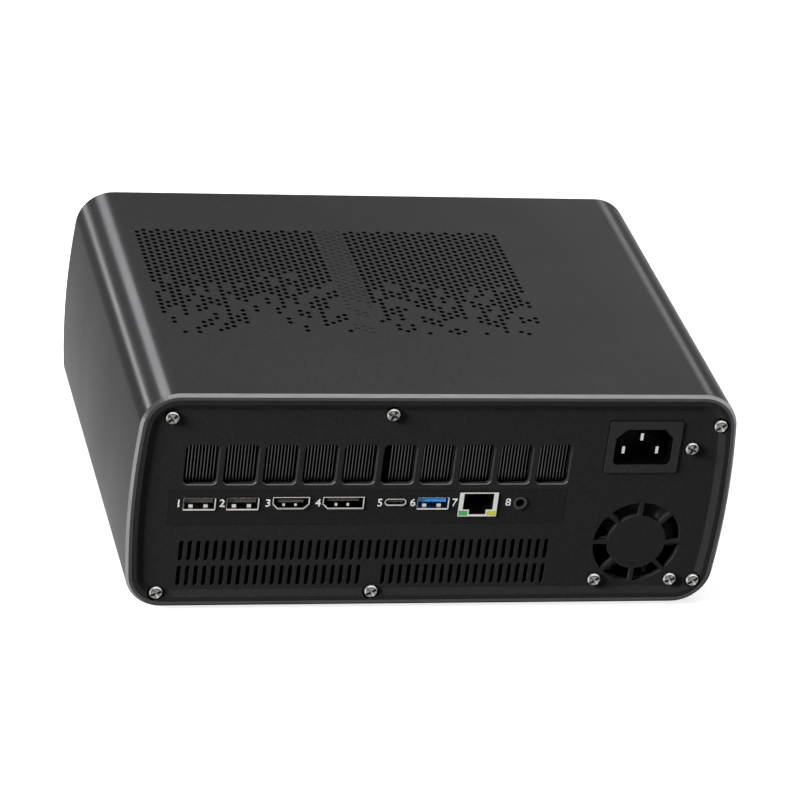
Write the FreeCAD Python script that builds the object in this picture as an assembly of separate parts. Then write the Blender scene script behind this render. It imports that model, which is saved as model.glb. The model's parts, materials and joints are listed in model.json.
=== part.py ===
import FreeCAD, Part
import os
from math import asin, cos, pi, radians, sin, sqrt

# A desktop mini PC: an aluminium sleeve with a recessed rear panel, a board on a folded bench, two blowers
# that push air through fins behind the rear windows, and a built-in mains supply beside them.
# Millimetres. X runs across, +Y is the rear with the sockets, +Z is up. The origin is on the table, under
# the middle of the case. Inside this script heights count from the underside of the case; save() adds the feet.

V = FreeCAD.Vector

# ---------------------------------------------------------------- case
CASE_W = 246.0  # across the bulge of the side walls
CASE_D = 181.5
CASE_H = 96.0
CORNER_R = 15.5
SIDE_R = 360.0  # the side walls bulge a little
WALL = 2.5
EDGE_CHAMFER = 1.15
FOOT_H = 2.0
FOOT_R = 8.0
FOOT_INSET = 26.0  # from the case's sides to a foot's centre

FIT = 0.15  # around a plate in its seat
TOUCH = 0.03  # between a shell and the moulding inside it
SCREW_GAP = 0.05  # around a screw's shank
RUN_GAP = 0.04  # around a turning shaft
SLIDE_GAP = 0.3  # around what moves

# ---------------------------------------------------------------- screws
SCREW_R = 1.5
HEAD_R = 3.0
HEAD_H = 2.1
SCREW_LEN = 9.0
SHORT_LEN = 5.0
SMALL_R = 1.0
SEAT_R = 3.6  # round seat cut for a head in the rim of the rear panel
RIB_R = 4.0  # half the width of a screw rib in a corner of the sleeve
MID_RIB_R = 5.2  # and of the two ribs along its middle

# ---------------------------------------------------------------- rear panel
PANEL_T = 2.0
RIM_W = 2.0  # flat border inside the sleeve's end
BEVEL_W = 2.75
BEVEL_D = 1.4
PLATE_T = 1.0  # the I/O plate, let into the panel
PLATE_Z0 = -6.75  # its lower edge, from the board's top
PLATE_H = 15.5
PLATE_W = 161.7
PLATE_LEDGE = 0.8
WINDOW_W = 13.3
WINDOW_H = 17.6
WINDOW_R = 2.0
WINDOW_WEB = 2.6
SLOT_W = 1.85
SLOT_H = 9.25
SLOT_PITCH = 3.48
SLOT_MARGIN = 4.0  # from the bench's legs to the outermost slots
SLOT_MARGIN_PSU = 16.2
SLOT_ROWS = (9.0, 20.5)  # lower ends of the two rows
FAN_LIP = 0.7  # the panel's ring of openings is this much smaller than the fan's bore
FAN_DISC_R = 12.2
FAN_SPOKE_W = 1.65

# ---------------------------------------------------------------- board and bench
BOARD_TOP = 43.75
BOARD_T = 1.6
BOARD_SIDE = 17.0  # from the sleeve's side to the board's edge
BOARD_END = 6.75  # from the ends of the sleeve to the board's edges
STANDOFF_H = 5.0
STANDOFF_R = 2.9
SHEET_T = 1.2
BENCH_SIDE = 19.0  # from the sleeve's side to the bench's outer leg
FLANGE_W = 12.0
DRIVE = (69.8, 100.0, 7.0)
DRIVE_GAP = 4.0
DRIVE_Y = 24.0  # from the bench's front edge to the drives
POST_IN = 7.0  # from the board's edges to its screws
MEMORY = (14.0, 10.0, 1.0)
INDUCTOR = (6.2, 6.2, 4.0)
CAPACITOR_R = 2.9
CAPACITOR_H = 6.0
SUPPLY_ROW = 8  # inductors, and as many capacitors, in front of the processor
SUPPLY_PITCH = 7.0
SUPPLY_X = -27.5  # from the middle to the first of them
COIN_R = 10.0
COIN_T = 3.2
COIN_LIFT = 1.2
COIN_WALL = 1.6
SSD = (22.0, 80.0, 0.8)
SSD_CHIP = (16.0, 12.0, 1.1)
SSD_CHIPS_AT = (14.0, 32.0, 50.0, 66.0)
SSD_LIFT = 2.4
SSD_AT = (18.525, -4.975)  # from the left blower's shaft to the cards' middles, clear of its screws
SSD_POST_R = 2.2
WIRELESS = (22.0, 30.0, 0.8)
WIRELESS_CAN = (18.0, 15.0, 1.4)

# ---------------------------------------------------------------- power supply
PSU_W = 42.5
PSU_H = 81.5
PSU_D = 150.0
PSU_T = 1.0
PSU_SIDE = 14.3  # from the sleeve's side to the supply
PSU_LIFT = 0.5  # from the sleeve's floor to the bench's flange, which carries the supply
FAN_SIZE = 40.0
FAN_T = 15.0
FAN_Z = 27.9
FAN_WALL = 1.0  # the frame's wall where the bore comes nearest to its side
FAN_TIP_GAP = 0.6  # from the blades' tips to the bore
FAN_SCREW_IN = (3.75, 4.15, 3.1)  # from the frame's two sides and its lower edge to the screws
FAN_HUB_R = 10.5
FAN_BLADES = 7
FAN_PITCH = 38.0  # degrees between a blade and the shaft
FAN_START = 7.0  # degrees from the top to the first blade at rest
INLET_X = 3.55  # from the middle of the supply
INLET_Z = 72.2
INLET_W = 30.5
INLET_H = 23.4
INLET_PROUD = 0.6
SOCKET_W = 24.0
SOCKET_H = 16.2
SOCKET_D = 15.5
SOCKET_WALL = 1.5
SOCKET_CHAMFER = 4.2  # of the upper corners
SOCKET_CORNER_R = 2.0  # of the lower corners
BLADE_W = 2.0
BLADE_H = 4.0
BLADE_PITCH = 14.0
BLADE_BACK = 4.0  # from the socket's mouth to the blades' tips
PSU_BOARD_GAP = 3.0  # from the supply's walls to its circuit board
TRANSFORMER = (26.0, 28.0, 30.0)
CHOKE = (14.0, 11.0, 5.0)  # height, outer and inner radius
BULK_CAPACITOR = (30.0, 9.0)  # height and radius
SMALL_CAPACITOR = (20.0, 4.0)
SINK = (28.0, 2.0, 60.0)
SINK_FINS = 10
SINK_FIN_PITCH = 6.0
CABLE_R = 3.2
CABLE_BEND = 9.0
PLUG = (10.0, 20.0, 12.0)
PLUG_Y0 = -52.0

# ---------------------------------------------------------------- cooling
SUBSTRATE = (45.0, 37.5, 1.2)
DIE = (24.0, 14.0, 0.8)
COLD_PLATE = (62.0, 50.0, 4.25)
PROCESSOR_Y = 36.0
PIPE_W = 8.0
PIPE_T = 3.0
PIPE_GAP = 1.0
PIPE_BEND = 11.0  # of the inner pipe's middle line
FIN_GAP = 1.0  # from the rear panel to the fins
FIN_D = 40.0
FIN_H = 22.0
FIN_T = 0.35
FIN_PITCH = 1.325  # a twelfth of the windows' pitch
BLOWER_W = 76.0
BLOWER_WALL = 1.5
BLOWER_BASE = 2.0
IMPELLER_R = 31.0
IMPELLER_HUB_R = 13.0
IMPELLER_BLADES = 27
SHAFT_R = 1.5
EYE_R = 25.0  # the blower's air inlet

# ---------------------------------------------------------------- sockets, from the board's edge and top
SHELL_T = 0.35
SOCKET_PROUD = 0.5
SPRING = (1.5, 2.8, 0.6)  # a contact spring on a socket's floor
SPRING_BACK = 2.6  # from the mouth to the springs
TYPE_A_SPRING = 2.9  # from the socket's middle
VIDEO_SPRING = 2.4
SHELL_D = 13.5
TYPE_A = (13.1, 5.7)
TYPE_C = (8.94, 3.26)
TYPE_C_RAISE = 1.8
VIDEO_A = (15.0, 5.6)
VIDEO_B = (16.9, 5.6)
VIDEO_CUT = 2.2  # the slanted corners of the video sockets
VIDEO_RAISE = 0.4
JACK = (16.0, 11.0, 21.0)
JACK_DROP = 3.2  # the network jack hangs this far through the board
JACK_WALL = 1.2
JACK_OPENING = (11.8, 6.8)
JACK_NOTCH = (6.4, 2.2)
BARREL_R = 2.9
BARREL_BORE_R = 1.8
PORT_GAP = 0.2
TYPE_A_AT = (11.4, 28.8)
VIDEO_A_AT = 48.2
VIDEO_B_AT = 69.4
TYPE_C_AT = 90.6
FAST_AT = 106.1
JACK_AT = 124.7
AUDIO_AT = 142.0

# ---------------------------------------------------------------- front
COVER_T = 2.5
FRAME_T = 2.0
FRONT_TYPE_A_AT = (40.0, 58.0)
FRONT_AUDIO_AT = 76.0
BUTTON_AT = 18.0
BUTTON_R = 5.5
BUTTON_TRAVEL = 0.5
BUTTON_PROUD = 0.8
BUTTON_FLANGE = 1.0
CLIP_R = 1.5

# ---------------------------------------------------------------- worked out
REAR_Y = CASE_D / 2
FLOOR_Y = REAR_Y - BEVEL_D  # outer face of the panel's floor
PANEL_IN_Y = FLOOR_Y - PANEL_T
FRONT_Y = -CASE_D / 2
FRAME_Y = FRONT_Y + COVER_T  # outer face of the frame behind the cover
FRAME_IN_Y = FRAME_Y + FRAME_T
SOCKET_Y = FLOOR_Y + SOCKET_PROUD  # mouths of the rear sockets

BOARD_X1 = CASE_W / 2 - BOARD_SIDE
PSU_X0 = PSU_SIDE - CASE_W / 2
PSU_X1 = PSU_X0 + PSU_W
PSU_X = (PSU_X0 + PSU_X1) / 2
PSU_Z0 = WALL + PSU_LIFT + SHEET_T
PSU_Z1 = PSU_Z0 + PSU_H
PSU_Y0 = PANEL_IN_Y - PSU_D
BENCH_X0 = PSU_X1 + SLIDE_GAP
BENCH_X1 = CASE_W / 2 - BENCH_SIDE
BOARD_X0 = BENCH_X0 + SHEET_T + 2 * SLIDE_GAP
BOARD_Y0 = FRONT_Y + BOARD_END
BOARD_Y1 = REAR_Y - BOARD_END
BOARD_Z0 = BOARD_TOP - BOARD_T
BENCH_TOP = BOARD_Z0 - STANDOFF_H
BENCH_Y1 = PANEL_IN_Y
BENCH_Y0 = BOARD_Y0
MID_X = (BOARD_X0 + BOARD_X1) / 2  # the middle ribs, the processor and the gap between the blowers
COIN_X, COIN_Y = BOARD_X0 + 40, BOARD_Y0 + 22
SSD_Y0 = BOARD_Y0 + 9
WIRELESS_X, WIRELESS_Y = BOARD_X0 + 70, BOARD_Y0 + 12
CABLE_Z = BOARD_TOP + 7
PLUG_X = BOARD_X0 + 8
PORT_Z = BOARD_TOP + TYPE_A[1] / 2

DIE_TOP = BOARD_TOP + SUBSTRATE[2] + DIE[2]
PIPE_Z0 = DIE_TOP + COLD_PLATE[2]
FIN_Z0 = PIPE_Z0 + PIPE_T
FIN_Y1 = PANEL_IN_Y - FIN_GAP
FIN_Y0 = FIN_Y1 - FIN_D
FIN_X0 = BOARD_X0 + 6.9
FIN_X1 = BOARD_X1 - 1.5
WINDOW_Z0 = FIN_Z0 + (FIN_H - WINDOW_H) / 2
BLOWER_Y1 = FIN_Y0 - SLIDE_GAP
BLOWER_Y = BLOWER_Y1 - BLOWER_W / 2
BLOWER_Z1 = FIN_Z0 + FIN_H
BLOWER_DX = (BOARD_X1 - BOARD_X0) / 4  # from the middle rib to each blower's shaft
SSD_X = [MID_X + BLOWER_DX + at for at in SSD_AT]
FAN_X = PSU_X
FAN_BORE_R = FAN_SIZE / 2 - FAN_WALL
FAN_TIP_R = FAN_BORE_R - FAN_TIP_GAP
FAN_RING_R = FAN_BORE_R - FAN_LIP
FAN_Y1 = PANEL_IN_Y - PSU_T
INLET_CX = PSU_X + INLET_X
SOCKET_MOUTH_Y = FLOOR_Y + INLET_PROUD
SOCKET_BACK_Y = SOCKET_MOUTH_Y - SOCKET_D

# Screws through the rear panel into the sleeve's ribs, as (x, z); the front frame uses the same ribs.
CASE_SCREWS = (
    (CASE_W / 2 - 14.1, CASE_H - 10.4, RIB_R),
    (MID_X, CASE_H - 8.9, MID_RIB_R),
    (8.4 - CASE_W / 2, CASE_H - 13.9, RIB_R),
    (CASE_W / 2 - 14.4, 6.6, RIB_R),
    (MID_X, 6.4, MID_RIB_R),
    (9.4 - CASE_W / 2, 10.4, RIB_R),
)
PSU_SCREWS = (
    (PSU_X0 + 4.6, INLET_Z - 0.4),
    (FAN_X - FAN_SIZE / 2 + FAN_SCREW_IN[0], FAN_Z - FAN_SIZE / 2 + FAN_SCREW_IN[2]),
    (FAN_X + FAN_SIZE / 2 - FAN_SCREW_IN[1], FAN_Z - FAN_SIZE / 2 + FAN_SCREW_IN[2]),
)


# ================================================================ basic shapes
def box(x0, x1, y0, y1, z0, z1):
    return Part.makeBox(x1 - x0, y1 - y0, z1 - z0, V(x0, y0, z0))


def rod(start, end, r):
    """A round bar from one point to another."""
    along = V(*end) - V(*start)
    return Part.makeCylinder(r, along.Length, V(*start), along)


def pipe(start, end, r_out, r_in):
    return rod(start, end, r_out).cut(rod(start, end, r_in))


def joined(shapes):
    shapes = list(shapes)
    return shapes[0].fuse(shapes[1:]).removeSplitter() if len(shapes) > 1 else shapes[0]


def less(shape, tools):
    return shape.cut(Part.makeCompound(list(tools)))


def arc(cx, cz, r, start, end, y):
    """An arc in the plane at y, from one angle to another in degrees."""
    at = lambda a: V(cx + r * cos(radians(a)), y, cz + r * sin(radians(a)))
    return Part.Arc(at(start), at((start + end) / 2), at(end)).toShape()


def line(x0, z0, x1, z1, y):
    return Part.LineSegment(V(x0, y, z0), V(x1, y, z1)).toShape()


def polygon(points, y):
    """A closed outline in the plane at y."""
    corners = [V(x, y, z) for x, z in points]
    return Part.makePolygon(corners + corners[:1])


def rounded(x0, x1, z0, z1, r, y):
    """A rectangle with round corners in the plane at y; with r half of a side it is a slot."""
    wide = x1 - x0 > 2 * r + 1e-6
    tall = z1 - z0 > 2 * r + 1e-6
    edges = [arc(x1 - r, z0 + r, r, -90, 0, y), arc(x1 - r, z1 - r, r, 0, 90, y)]
    edges += [arc(x0 + r, z1 - r, r, 90, 180, y), arc(x0 + r, z0 + r, r, 180, 270, y)]
    if wide:
        edges += [line(x0 + r, z0, x1 - r, z0, y), line(x1 - r, z1, x0 + r, z1, y)]
    if tall:
        edges += [line(x1, z0 + r, x1, z1 - r, y), line(x0, z1 - r, x0, z0 + r, y)]
    return Part.Wire(Part.__sortEdges__(edges))


def along_y(wire, depth):
    """An outline given thickness, towards the rear if depth is positive."""
    return Part.Face(wire).extrude(V(0, depth, 0))


def grown(wire, by):
    """The outline drawn outwards by a distance, or inwards if it is negative."""
    return wire.makeOffset2D(by, 2) if by else wire


def case_outline(inset, y):
    """The case's cross-section drawn in by inset: flat top and bottom, bulging sides, round corners."""
    side = CASE_W / 2 - SIDE_R
    rise = CASE_H / 2 - CORNER_R
    reach = SIDE_R - CORNER_R
    corner = side + sqrt(reach**2 - rise**2)
    turn = asin(rise / reach) * 180 / pi
    low, high = CORNER_R, CASE_H - CORNER_R
    r = CORNER_R - inset
    return Part.Wire(
        [
            line(-corner, inset, corner, inset, y),
            arc(corner, low, r, -90, -turn, y),
            arc(side, CASE_H / 2, SIDE_R - inset, -turn, turn, y),
            arc(corner, high, r, turn, 90, y),
            line(corner, CASE_H - inset, -corner, CASE_H - inset, y),
            arc(-corner, high, r, 90, 180 - turn, y),
            arc(-side, CASE_H / 2, SIDE_R - inset, 180 - turn, 180 + turn, y),
            arc(-corner, low, r, 180 + turn, 270, y),
        ]
    )


def case_prism(inset, y0, y1):
    return along_y(case_outline(inset, y0), y1 - y0)


def case_taper(inset0, y0, inset1, y1):
    """A block whose cross-section shrinks from one inset to another."""
    return Part.makeLoft([case_outline(inset0, y0), case_outline(inset1, y1)], True, True)


def pan_screw(x, y, z, direction, length, r=SCREW_R, head_r=HEAD_R, head_h=HEAD_H):
    """A cross-recess screw; (x, y, z) is under its head and direction points out of the head."""
    out = V(*direction)
    at = V(x, y, z)
    shank = Part.makeCylinder(r, length, at, out * -1)
    head = Part.makeCylinder(head_r, head_h, at, out)
    crown = [e for e in head.Edges if abs((e.CenterOfMass - at).dot(out) - head_h) < 1e-6]
    head = head.makeFillet(head_h * 0.45, crown)
    arm, slit, depth = head_r * 1.25, head_r * 0.3, head_h * 0.6
    recess = Part.makeBox(arm, slit, depth, V(-arm / 2, -slit / 2, head_h - depth))
    cross = recess.fuse(recess.rotated(V(0, 0, 0), V(0, 0, 1), 90))
    cross.Placement = FreeCAD.Placement(at, FreeCAD.Rotation(V(0, 0, 1), out))
    return joined([head.cut(cross), shank])


# ================================================================ case
def screw_rib(x, z, half):
    """A rib of the sleeve that takes a screw at each end, joined to the nearer of the roof and the floor."""
    y0, y1 = FRAME_IN_Y, PANEL_IN_Y
    post = rod((x, y0, z), (x, y1, z), half)
    wall_z = CASE_H if z > CASE_H / 2 else 0
    web = box(x - half, x + half, y0, y1, min(z, wall_z), max(z, wall_z))
    rib = joined([post, web]).common(case_prism(WALL / 2, y0, y1))
    bore = SCREW_R + SCREW_GAP
    depth = SCREW_LEN + 3
    ends = [rod((x, y1 - depth, z), (x, y1, z), bore), rod((x, y0, z), (x, y0 + depth, z), bore)]
    return less(rib, ends)


def case_sleeve():
    c = EDGE_CHAMFER
    blank = joined(
        [
            case_prism(0, FRONT_Y + c, REAR_Y - c),
            case_taper(0, REAR_Y - c, c, REAR_Y),
            case_taper(c, FRONT_Y, 0, FRONT_Y + c),
        ]
    )
    tube = blank.cut(case_prism(WALL, FRONT_Y - 1, REAR_Y + 1))
    ribs = [screw_rib(x, z, half) for x, z, half in CASE_SCREWS]
    return joined([tube] + ribs)


def window_row():
    """The left edges of the exhaust windows, as many as there are fins for."""
    pitch = WINDOW_W + WINDOW_WEB
    count = int((FIN_X1 - FIN_X0 + WINDOW_WEB) / pitch)
    start = (FIN_X0 + FIN_X1 - count * pitch + WINDOW_WEB) / 2
    return [start + i * pitch for i in range(count)]


def slot_columns():
    """The middles of the air slots, between the two legs of the bench."""
    start = BENCH_X1 - SLOT_MARGIN
    span = start - BENCH_X0 - SLOT_MARGIN_PSU
    return [start - i * SLOT_PITCH for i in range(int(span / SLOT_PITCH) + 1)]


def panel_slots():
    """Two rows of upright slots; the lower row skips the rib along the sleeve's floor."""
    tools = []
    for row, z0 in enumerate(SLOT_ROWS):
        for x in slot_columns():
            if row == 0 and abs(x - MID_X) + SLOT_W / 2 < MID_RIB_R:
                continue
            wire = rounded(x - SLOT_W / 2, x + SLOT_W / 2, z0, z0 + SLOT_H, SLOT_W / 2, PANEL_IN_Y - 1)
            tools.append(along_y(wire, PANEL_T + 2))
    return tools


def fan_ring():
    """The eight openings around the fan, between a disc and a circle, parted by straight spokes."""
    y0, y1 = PANEL_IN_Y - 1, FLOOR_Y + 1
    ring = pipe((FAN_X, y0, FAN_Z), (FAN_X, y1, FAN_Z), FAN_RING_R, FAN_DISC_R)
    spoke = box(FAN_X - FAN_SPOKE_W / 2, FAN_X + FAN_SPOKE_W / 2, y0, y1, FAN_Z - 20, FAN_Z + 20)
    return less(ring, [spoke.rotated(V(FAN_X, 0, FAN_Z), V(0, 1, 0), a) for a in (0, 45, 90, 135)])


def io_plate_outline(grow, y):
    x1 = BOARD_X1 + 0.7 + grow
    z0 = BOARD_TOP + PLATE_Z0 - grow
    return rounded(x1 - PLATE_W - 2 * grow, x1, z0, z0 + PLATE_H + 2 * grow, 0.6, y)


def inlet_outline(grow, y):
    half_w, half_h = INLET_W / 2 + grow, INLET_H / 2 + grow
    return rounded(INLET_CX - half_w, INLET_CX + half_w, INLET_Z - half_h, INLET_Z + half_h, 0.8, y)


def rear_panel():
    blank = case_prism(WALL + FIT, PANEL_IN_Y, REAR_Y)
    rim = WALL + RIM_W
    dish = case_taper(rim + BEVEL_W, FLOOR_Y, rim, REAR_Y)
    windows = [
        along_y(rounded(x, x + WINDOW_W, WINDOW_Z0, WINDOW_Z0 + WINDOW_H, WINDOW_R, PANEL_IN_Y - 1), PANEL_T + 2)
        for x in window_row()
    ]
    seats = [rod((x, FLOOR_Y, z), (x, REAR_Y + 1, z), SEAT_R) for x, z, _ in CASE_SCREWS]
    holes = [
        rod((x, PANEL_IN_Y - 1, z), (x, REAR_Y, z), SCREW_R + SCREW_GAP)
        for x, z in [s[:2] for s in CASE_SCREWS] + list(PSU_SCREWS)
    ]
    pocket = along_y(io_plate_outline(FIT, FLOOR_Y - PLATE_T), PLATE_T + 1)
    opening = along_y(io_plate_outline(-PLATE_LEDGE, PANEL_IN_Y - 1), PANEL_T + 1)
    inlet = along_y(inlet_outline(SLIDE_GAP, PANEL_IN_Y - 1), PANEL_T + 2)
    cuts = [dish, pocket, opening, inlet, fan_ring()] + windows + seats + holes + panel_slots()
    return less(blank, cuts)


def rubber_feet():
    feet = []
    for sx in (-1, 1):
        for sy in (-1, 1):
            x, y = sx * (CASE_W / 2 - FOOT_INSET), sy * (CASE_D / 2 - FOOT_INSET)
            top = Part.makeCylinder(FOOT_R, FOOT_H / 2, V(x, y, -FOOT_H / 2))
            toe = Part.makeCone(FOOT_R - FOOT_H / 2, FOOT_R, FOOT_H / 2, V(x, y, -FOOT_H))
            feet.append(joined([top, toe]))
    return feet


def rear_case_screws():
    return [pan_screw(x, FLOOR_Y, z, (0, 1, 0), SCREW_LEN) for x, z, _ in CASE_SCREWS]


def flat_screw(x, z):
    """A countersunk screw, flush with the front frame."""
    sink = HEAD_R - SCREW_R
    head = Part.makeCone(HEAD_R, SCREW_R, sink, V(x, FRAME_Y, z), V(0, 1, 0))
    shank = rod((x, FRAME_Y + sink, z), (x, FRAME_Y + SCREW_LEN, z), SCREW_R)
    drive = rod((x, FRAME_Y - 1, z), (x, FRAME_Y + 0.8, z), 1.0)
    return joined([head, shank]).cut(drive)


def front_frame_screws():
    return [flat_screw(x, z) for x, z, _ in CASE_SCREWS]


def front_socket_outlines(grow, y):
    """Openings in front of the front sockets."""
    half_w, half_h = TYPE_A[0] / 2 + grow, TYPE_A[1] / 2 + grow
    outlines = []
    for at in FRONT_TYPE_A_AT:
        x = BOARD_X1 - at
        outlines.append(rounded(x - half_w, x + half_w, PORT_Z - half_h, PORT_Z + half_h, 0.8, y))
    return outlines


def clip_places():
    """Where the front cover's pins enter the frame, a third of the way in from the sides."""
    return [(sx * CASE_W / 3, CASE_H / 2 + sz * CASE_H / 3) for sx in (-1, 1) for sz in (-1, 1)]


def front_frame():
    plate = case_prism(WALL + FIT, FRAME_Y, FRAME_IN_Y)
    sink = HEAD_R - SCREW_R + SCREW_GAP
    cuts = [rod((x, FRAME_Y, z), (x, FRAME_IN_Y + 1, z), SCREW_R + SCREW_GAP) for x, z, _ in CASE_SCREWS]
    cuts += [
        Part.makeCone(HEAD_R + SCREW_GAP, SCREW_R + SCREW_GAP, sink, V(x, FRAME_Y, z), V(0, 1, 0))
        for x, z, _ in CASE_SCREWS
    ]
    cuts += [along_y(wire, FRAME_T + 2) for wire in front_socket_outlines(PORT_GAP + 1, FRAME_Y - 1)]
    cuts.append(rod(front_audio(FRAME_Y - 1), front_audio(FRAME_IN_Y + 1), BARREL_R + PORT_GAP))
    cuts.append(rod(button_at(FRAME_Y - 1), button_at(FRAME_IN_Y + 1), BUTTON_R + 3))
    cuts += [rod((x, FRAME_Y - 1, z), (x, FRAME_IN_Y + 1, z), CLIP_R + SCREW_GAP) for x, z in clip_places()]
    return less(plate, cuts)


def front_cover():
    c = EDGE_CHAMFER / 2
    plate = joined(
        [case_prism(WALL + FIT, FRONT_Y + c, FRAME_Y), case_taper(WALL + FIT + c, FRONT_Y, WALL + FIT, FRONT_Y + c)]
    )
    cuts = [along_y(wire, COVER_T + 2) for wire in front_socket_outlines(PORT_GAP, FRONT_Y - 1)]
    cuts.append(rod(front_audio(FRONT_Y - 1), front_audio(FRAME_Y + 1), BARREL_R + PORT_GAP))
    cuts.append(rod(button_at(FRONT_Y - 1), button_at(FRAME_Y + 1), BUTTON_R + SLIDE_GAP))
    pins = [rod((x, FRAME_Y, z), (x, FRAME_IN_Y, z), CLIP_R) for x, z in clip_places()]
    return joined([less(plate, cuts)] + pins)


def front_audio(y):
    return (BOARD_X1 - FRONT_AUDIO_AT, y, BOARD_TOP + BARREL_R)


def button_at(y):
    return (BOARD_X1 - BUTTON_AT, y, PORT_Z)


def power_button():
    """The cap slides in the cover; its flange keeps it in and its stem works the switch."""
    flange_y = FRAME_Y + SLIDE_GAP
    cap = rod(button_at(FRONT_Y - BUTTON_PROUD), button_at(flange_y), BUTTON_R)
    rim = [e for e in cap.Edges if abs(e.CenterOfMass.y - (FRONT_Y - BUTTON_PROUD)) < 1e-6]
    cap = cap.makeFillet(0.4, rim)
    flange = rod(button_at(flange_y), button_at(flange_y + BUTTON_FLANGE), BUTTON_R + 1.5)
    stem = rod(button_at(flange_y), button_at(switch_face() - SLIDE_GAP - BUTTON_TRAVEL), 1.8)
    return joined([cap, flange, stem])


def switch_face():
    """The front of the switch's plunger, a little behind the edge of the board."""
    return BOARD_Y0 + 0.8


def power_switch():
    x, _, z = button_at(0)
    body = box(x - 3.5, x + 3.5, BOARD_Y0 + 2, BOARD_Y0 + 6.5, BOARD_TOP, z + 2.8)
    plunger = rod(button_at(switch_face()), button_at(BOARD_Y0 + 2), 1.4)
    return joined([body, plunger])


# ================================================================ bench and board
def board_posts():
    """Where the board is screwed down: three places along each side."""
    x0, x1, y0, y1 = BOARD_X0 + POST_IN, BOARD_X1 - POST_IN, BOARD_Y0 + POST_IN, PROCESSOR_Y + 20
    return [(x0, y0), (x0, 0), (x0, y1), (x1, y0), (x1, -10), (x1, y1)]


def drive_origins():
    """Lower corners of the two drives that hang side by side under the bench."""
    w, d, h = DRIVE
    x = (BENCH_X0 + BENCH_X1) / 2
    y = BENCH_Y0 + DRIVE_Y
    return [(x - w - DRIVE_GAP / 2, y, BENCH_TOP - SHEET_T - h), (x + DRIVE_GAP / 2, y, BENCH_TOP - SHEET_T - h)]


def drive_screw_places():
    w, d, _ = DRIVE
    return [(x + dx, y + dy) for x, y, _ in drive_origins() for dx in (4, w - 4) for dy in (14, d - 10)]


def chassis_bench():
    """A folded sheet: a top that carries the board, two legs, feet flanges and tabs against the panel."""
    z0 = WALL + PSU_LIFT
    top = box(BENCH_X0, BENCH_X1, BENCH_Y0, BENCH_Y1 - SHEET_T, BENCH_TOP - SHEET_T, BENCH_TOP)
    legs = [box(x, x + SHEET_T, BENCH_Y0, BENCH_Y1 - SHEET_T, z0, BENCH_TOP) for x in (BENCH_X0, BENCH_X1 - SHEET_T)]
    under_psu = box(PSU_X0 + 4, BENCH_X0 + SHEET_T, BENCH_Y0 + 8, BENCH_Y1 - SHEET_T, z0, z0 + SHEET_T)
    inward = box(BENCH_X1 - FLANGE_W, BENCH_X1, BENCH_Y0 + 8, BENCH_Y1 - SHEET_T, z0, z0 + SHEET_T)
    tabs = [
        box(x - 7, x + 7, BENCH_Y1 - 2 * SHEET_T, BENCH_Y1, BENCH_TOP - 5.8, BENCH_TOP)
        for x in (BENCH_X0 + 12, MID_X, BENCH_X1 - 12)
    ]
    holes = [
        rod((x, y, BENCH_TOP - SHEET_T - 1), (x, y, BENCH_TOP + 1), SCREW_R + SCREW_GAP)
        for x, y in board_posts() + drive_screw_places()
    ]
    return less(joined([top, under_psu, inward] + legs + tabs), holes)


def storage_drives():
    w, d, h = DRIVE
    drives = []
    for x, y, z in drive_origins():
        case = box(x, x + w, y, y + d, z, z + h)
        groove = box(x + 1, x + w - 1, y + 3, y + d - 3, z - 1, z + 0.4)
        drives.append(case.cut(groove))
    bores = [
        rod((x, y, BENCH_TOP - SHORT_LEN - 0.5), (x, y, BENCH_TOP), SCREW_R + SCREW_GAP)
        for x, y in drive_screw_places()
    ]
    return [less(drive, bores) for drive in drives]


def motherboard():
    slab = box(BOARD_X0, BOARD_X1, BOARD_Y0, BOARD_Y1, BOARD_Z0, BOARD_TOP)
    x = BOARD_X1 - JACK_AT
    notch = box(
        x - JACK[0] / 2 - PORT_GAP, x + JACK[0] / 2 + PORT_GAP, SOCKET_Y - JACK[2] - PORT_GAP, BOARD_Y1 + 1,
        BOARD_Z0 - 1, BOARD_TOP + 1,
    )
    holes = [
        rod((x, y, BOARD_Z0 - 1), (x, y, BOARD_TOP + 1), SCREW_R + SCREW_GAP)
        for x, y in board_posts() + cold_plate_posts() + blower_posts()
    ]
    return less(slab, [notch] + holes)


def board_standoffs():
    posts = []
    for x, y in board_posts():
        hexagon = [V(x + STANDOFF_R * cos(a * pi / 3), y + STANDOFF_R * sin(a * pi / 3), BENCH_TOP) for a in range(7)]
        post = Part.Face(Part.makePolygon(hexagon)).extrude(V(0, 0, STANDOFF_H))
        posts.append(post.cut(rod((x, y, BENCH_TOP), (x, y, BOARD_Z0), SCREW_R + SCREW_GAP)))
    return posts


def inner_screws():
    """Short screws of one kind: board to standoffs, drives to bench, blowers to their posts."""
    up = (0, 0, 1)
    screws = [pan_screw(x, y, BOARD_TOP, up, SHORT_LEN) for x, y in board_posts()]
    screws += [pan_screw(x, y, BENCH_TOP, up, SHORT_LEN) for x, y in drive_screw_places()]
    screws += [pan_screw(x, y, FIN_Z0 + BLOWER_BASE, up, SHORT_LEN) for x, y in blower_posts()]
    return screws


def chip(x, y, size, z=BOARD_TOP):
    """A flat package centred on (x, y)."""
    w, d, h = size
    return box(x - w / 2, x + w / 2, y - d / 2, y + d / 2, z, z + h)


def memory_chips():
    chips = []
    for side in (-1, 1):
        for i in range(4):
            chips.append(chip(MID_X + side * (COLD_PLATE[0] / 2 + 9), PROCESSOR_Y - 21 + 14 * i, MEMORY))
    return chips


def supply_row():
    return [MID_X + SUPPLY_X + SUPPLY_PITCH * i for i in range(SUPPLY_ROW)]


def power_inductors():
    y = PROCESSOR_Y - COLD_PLATE[1] / 2 - 8
    return [chip(x, y, INDUCTOR) for x in supply_row()]


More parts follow.
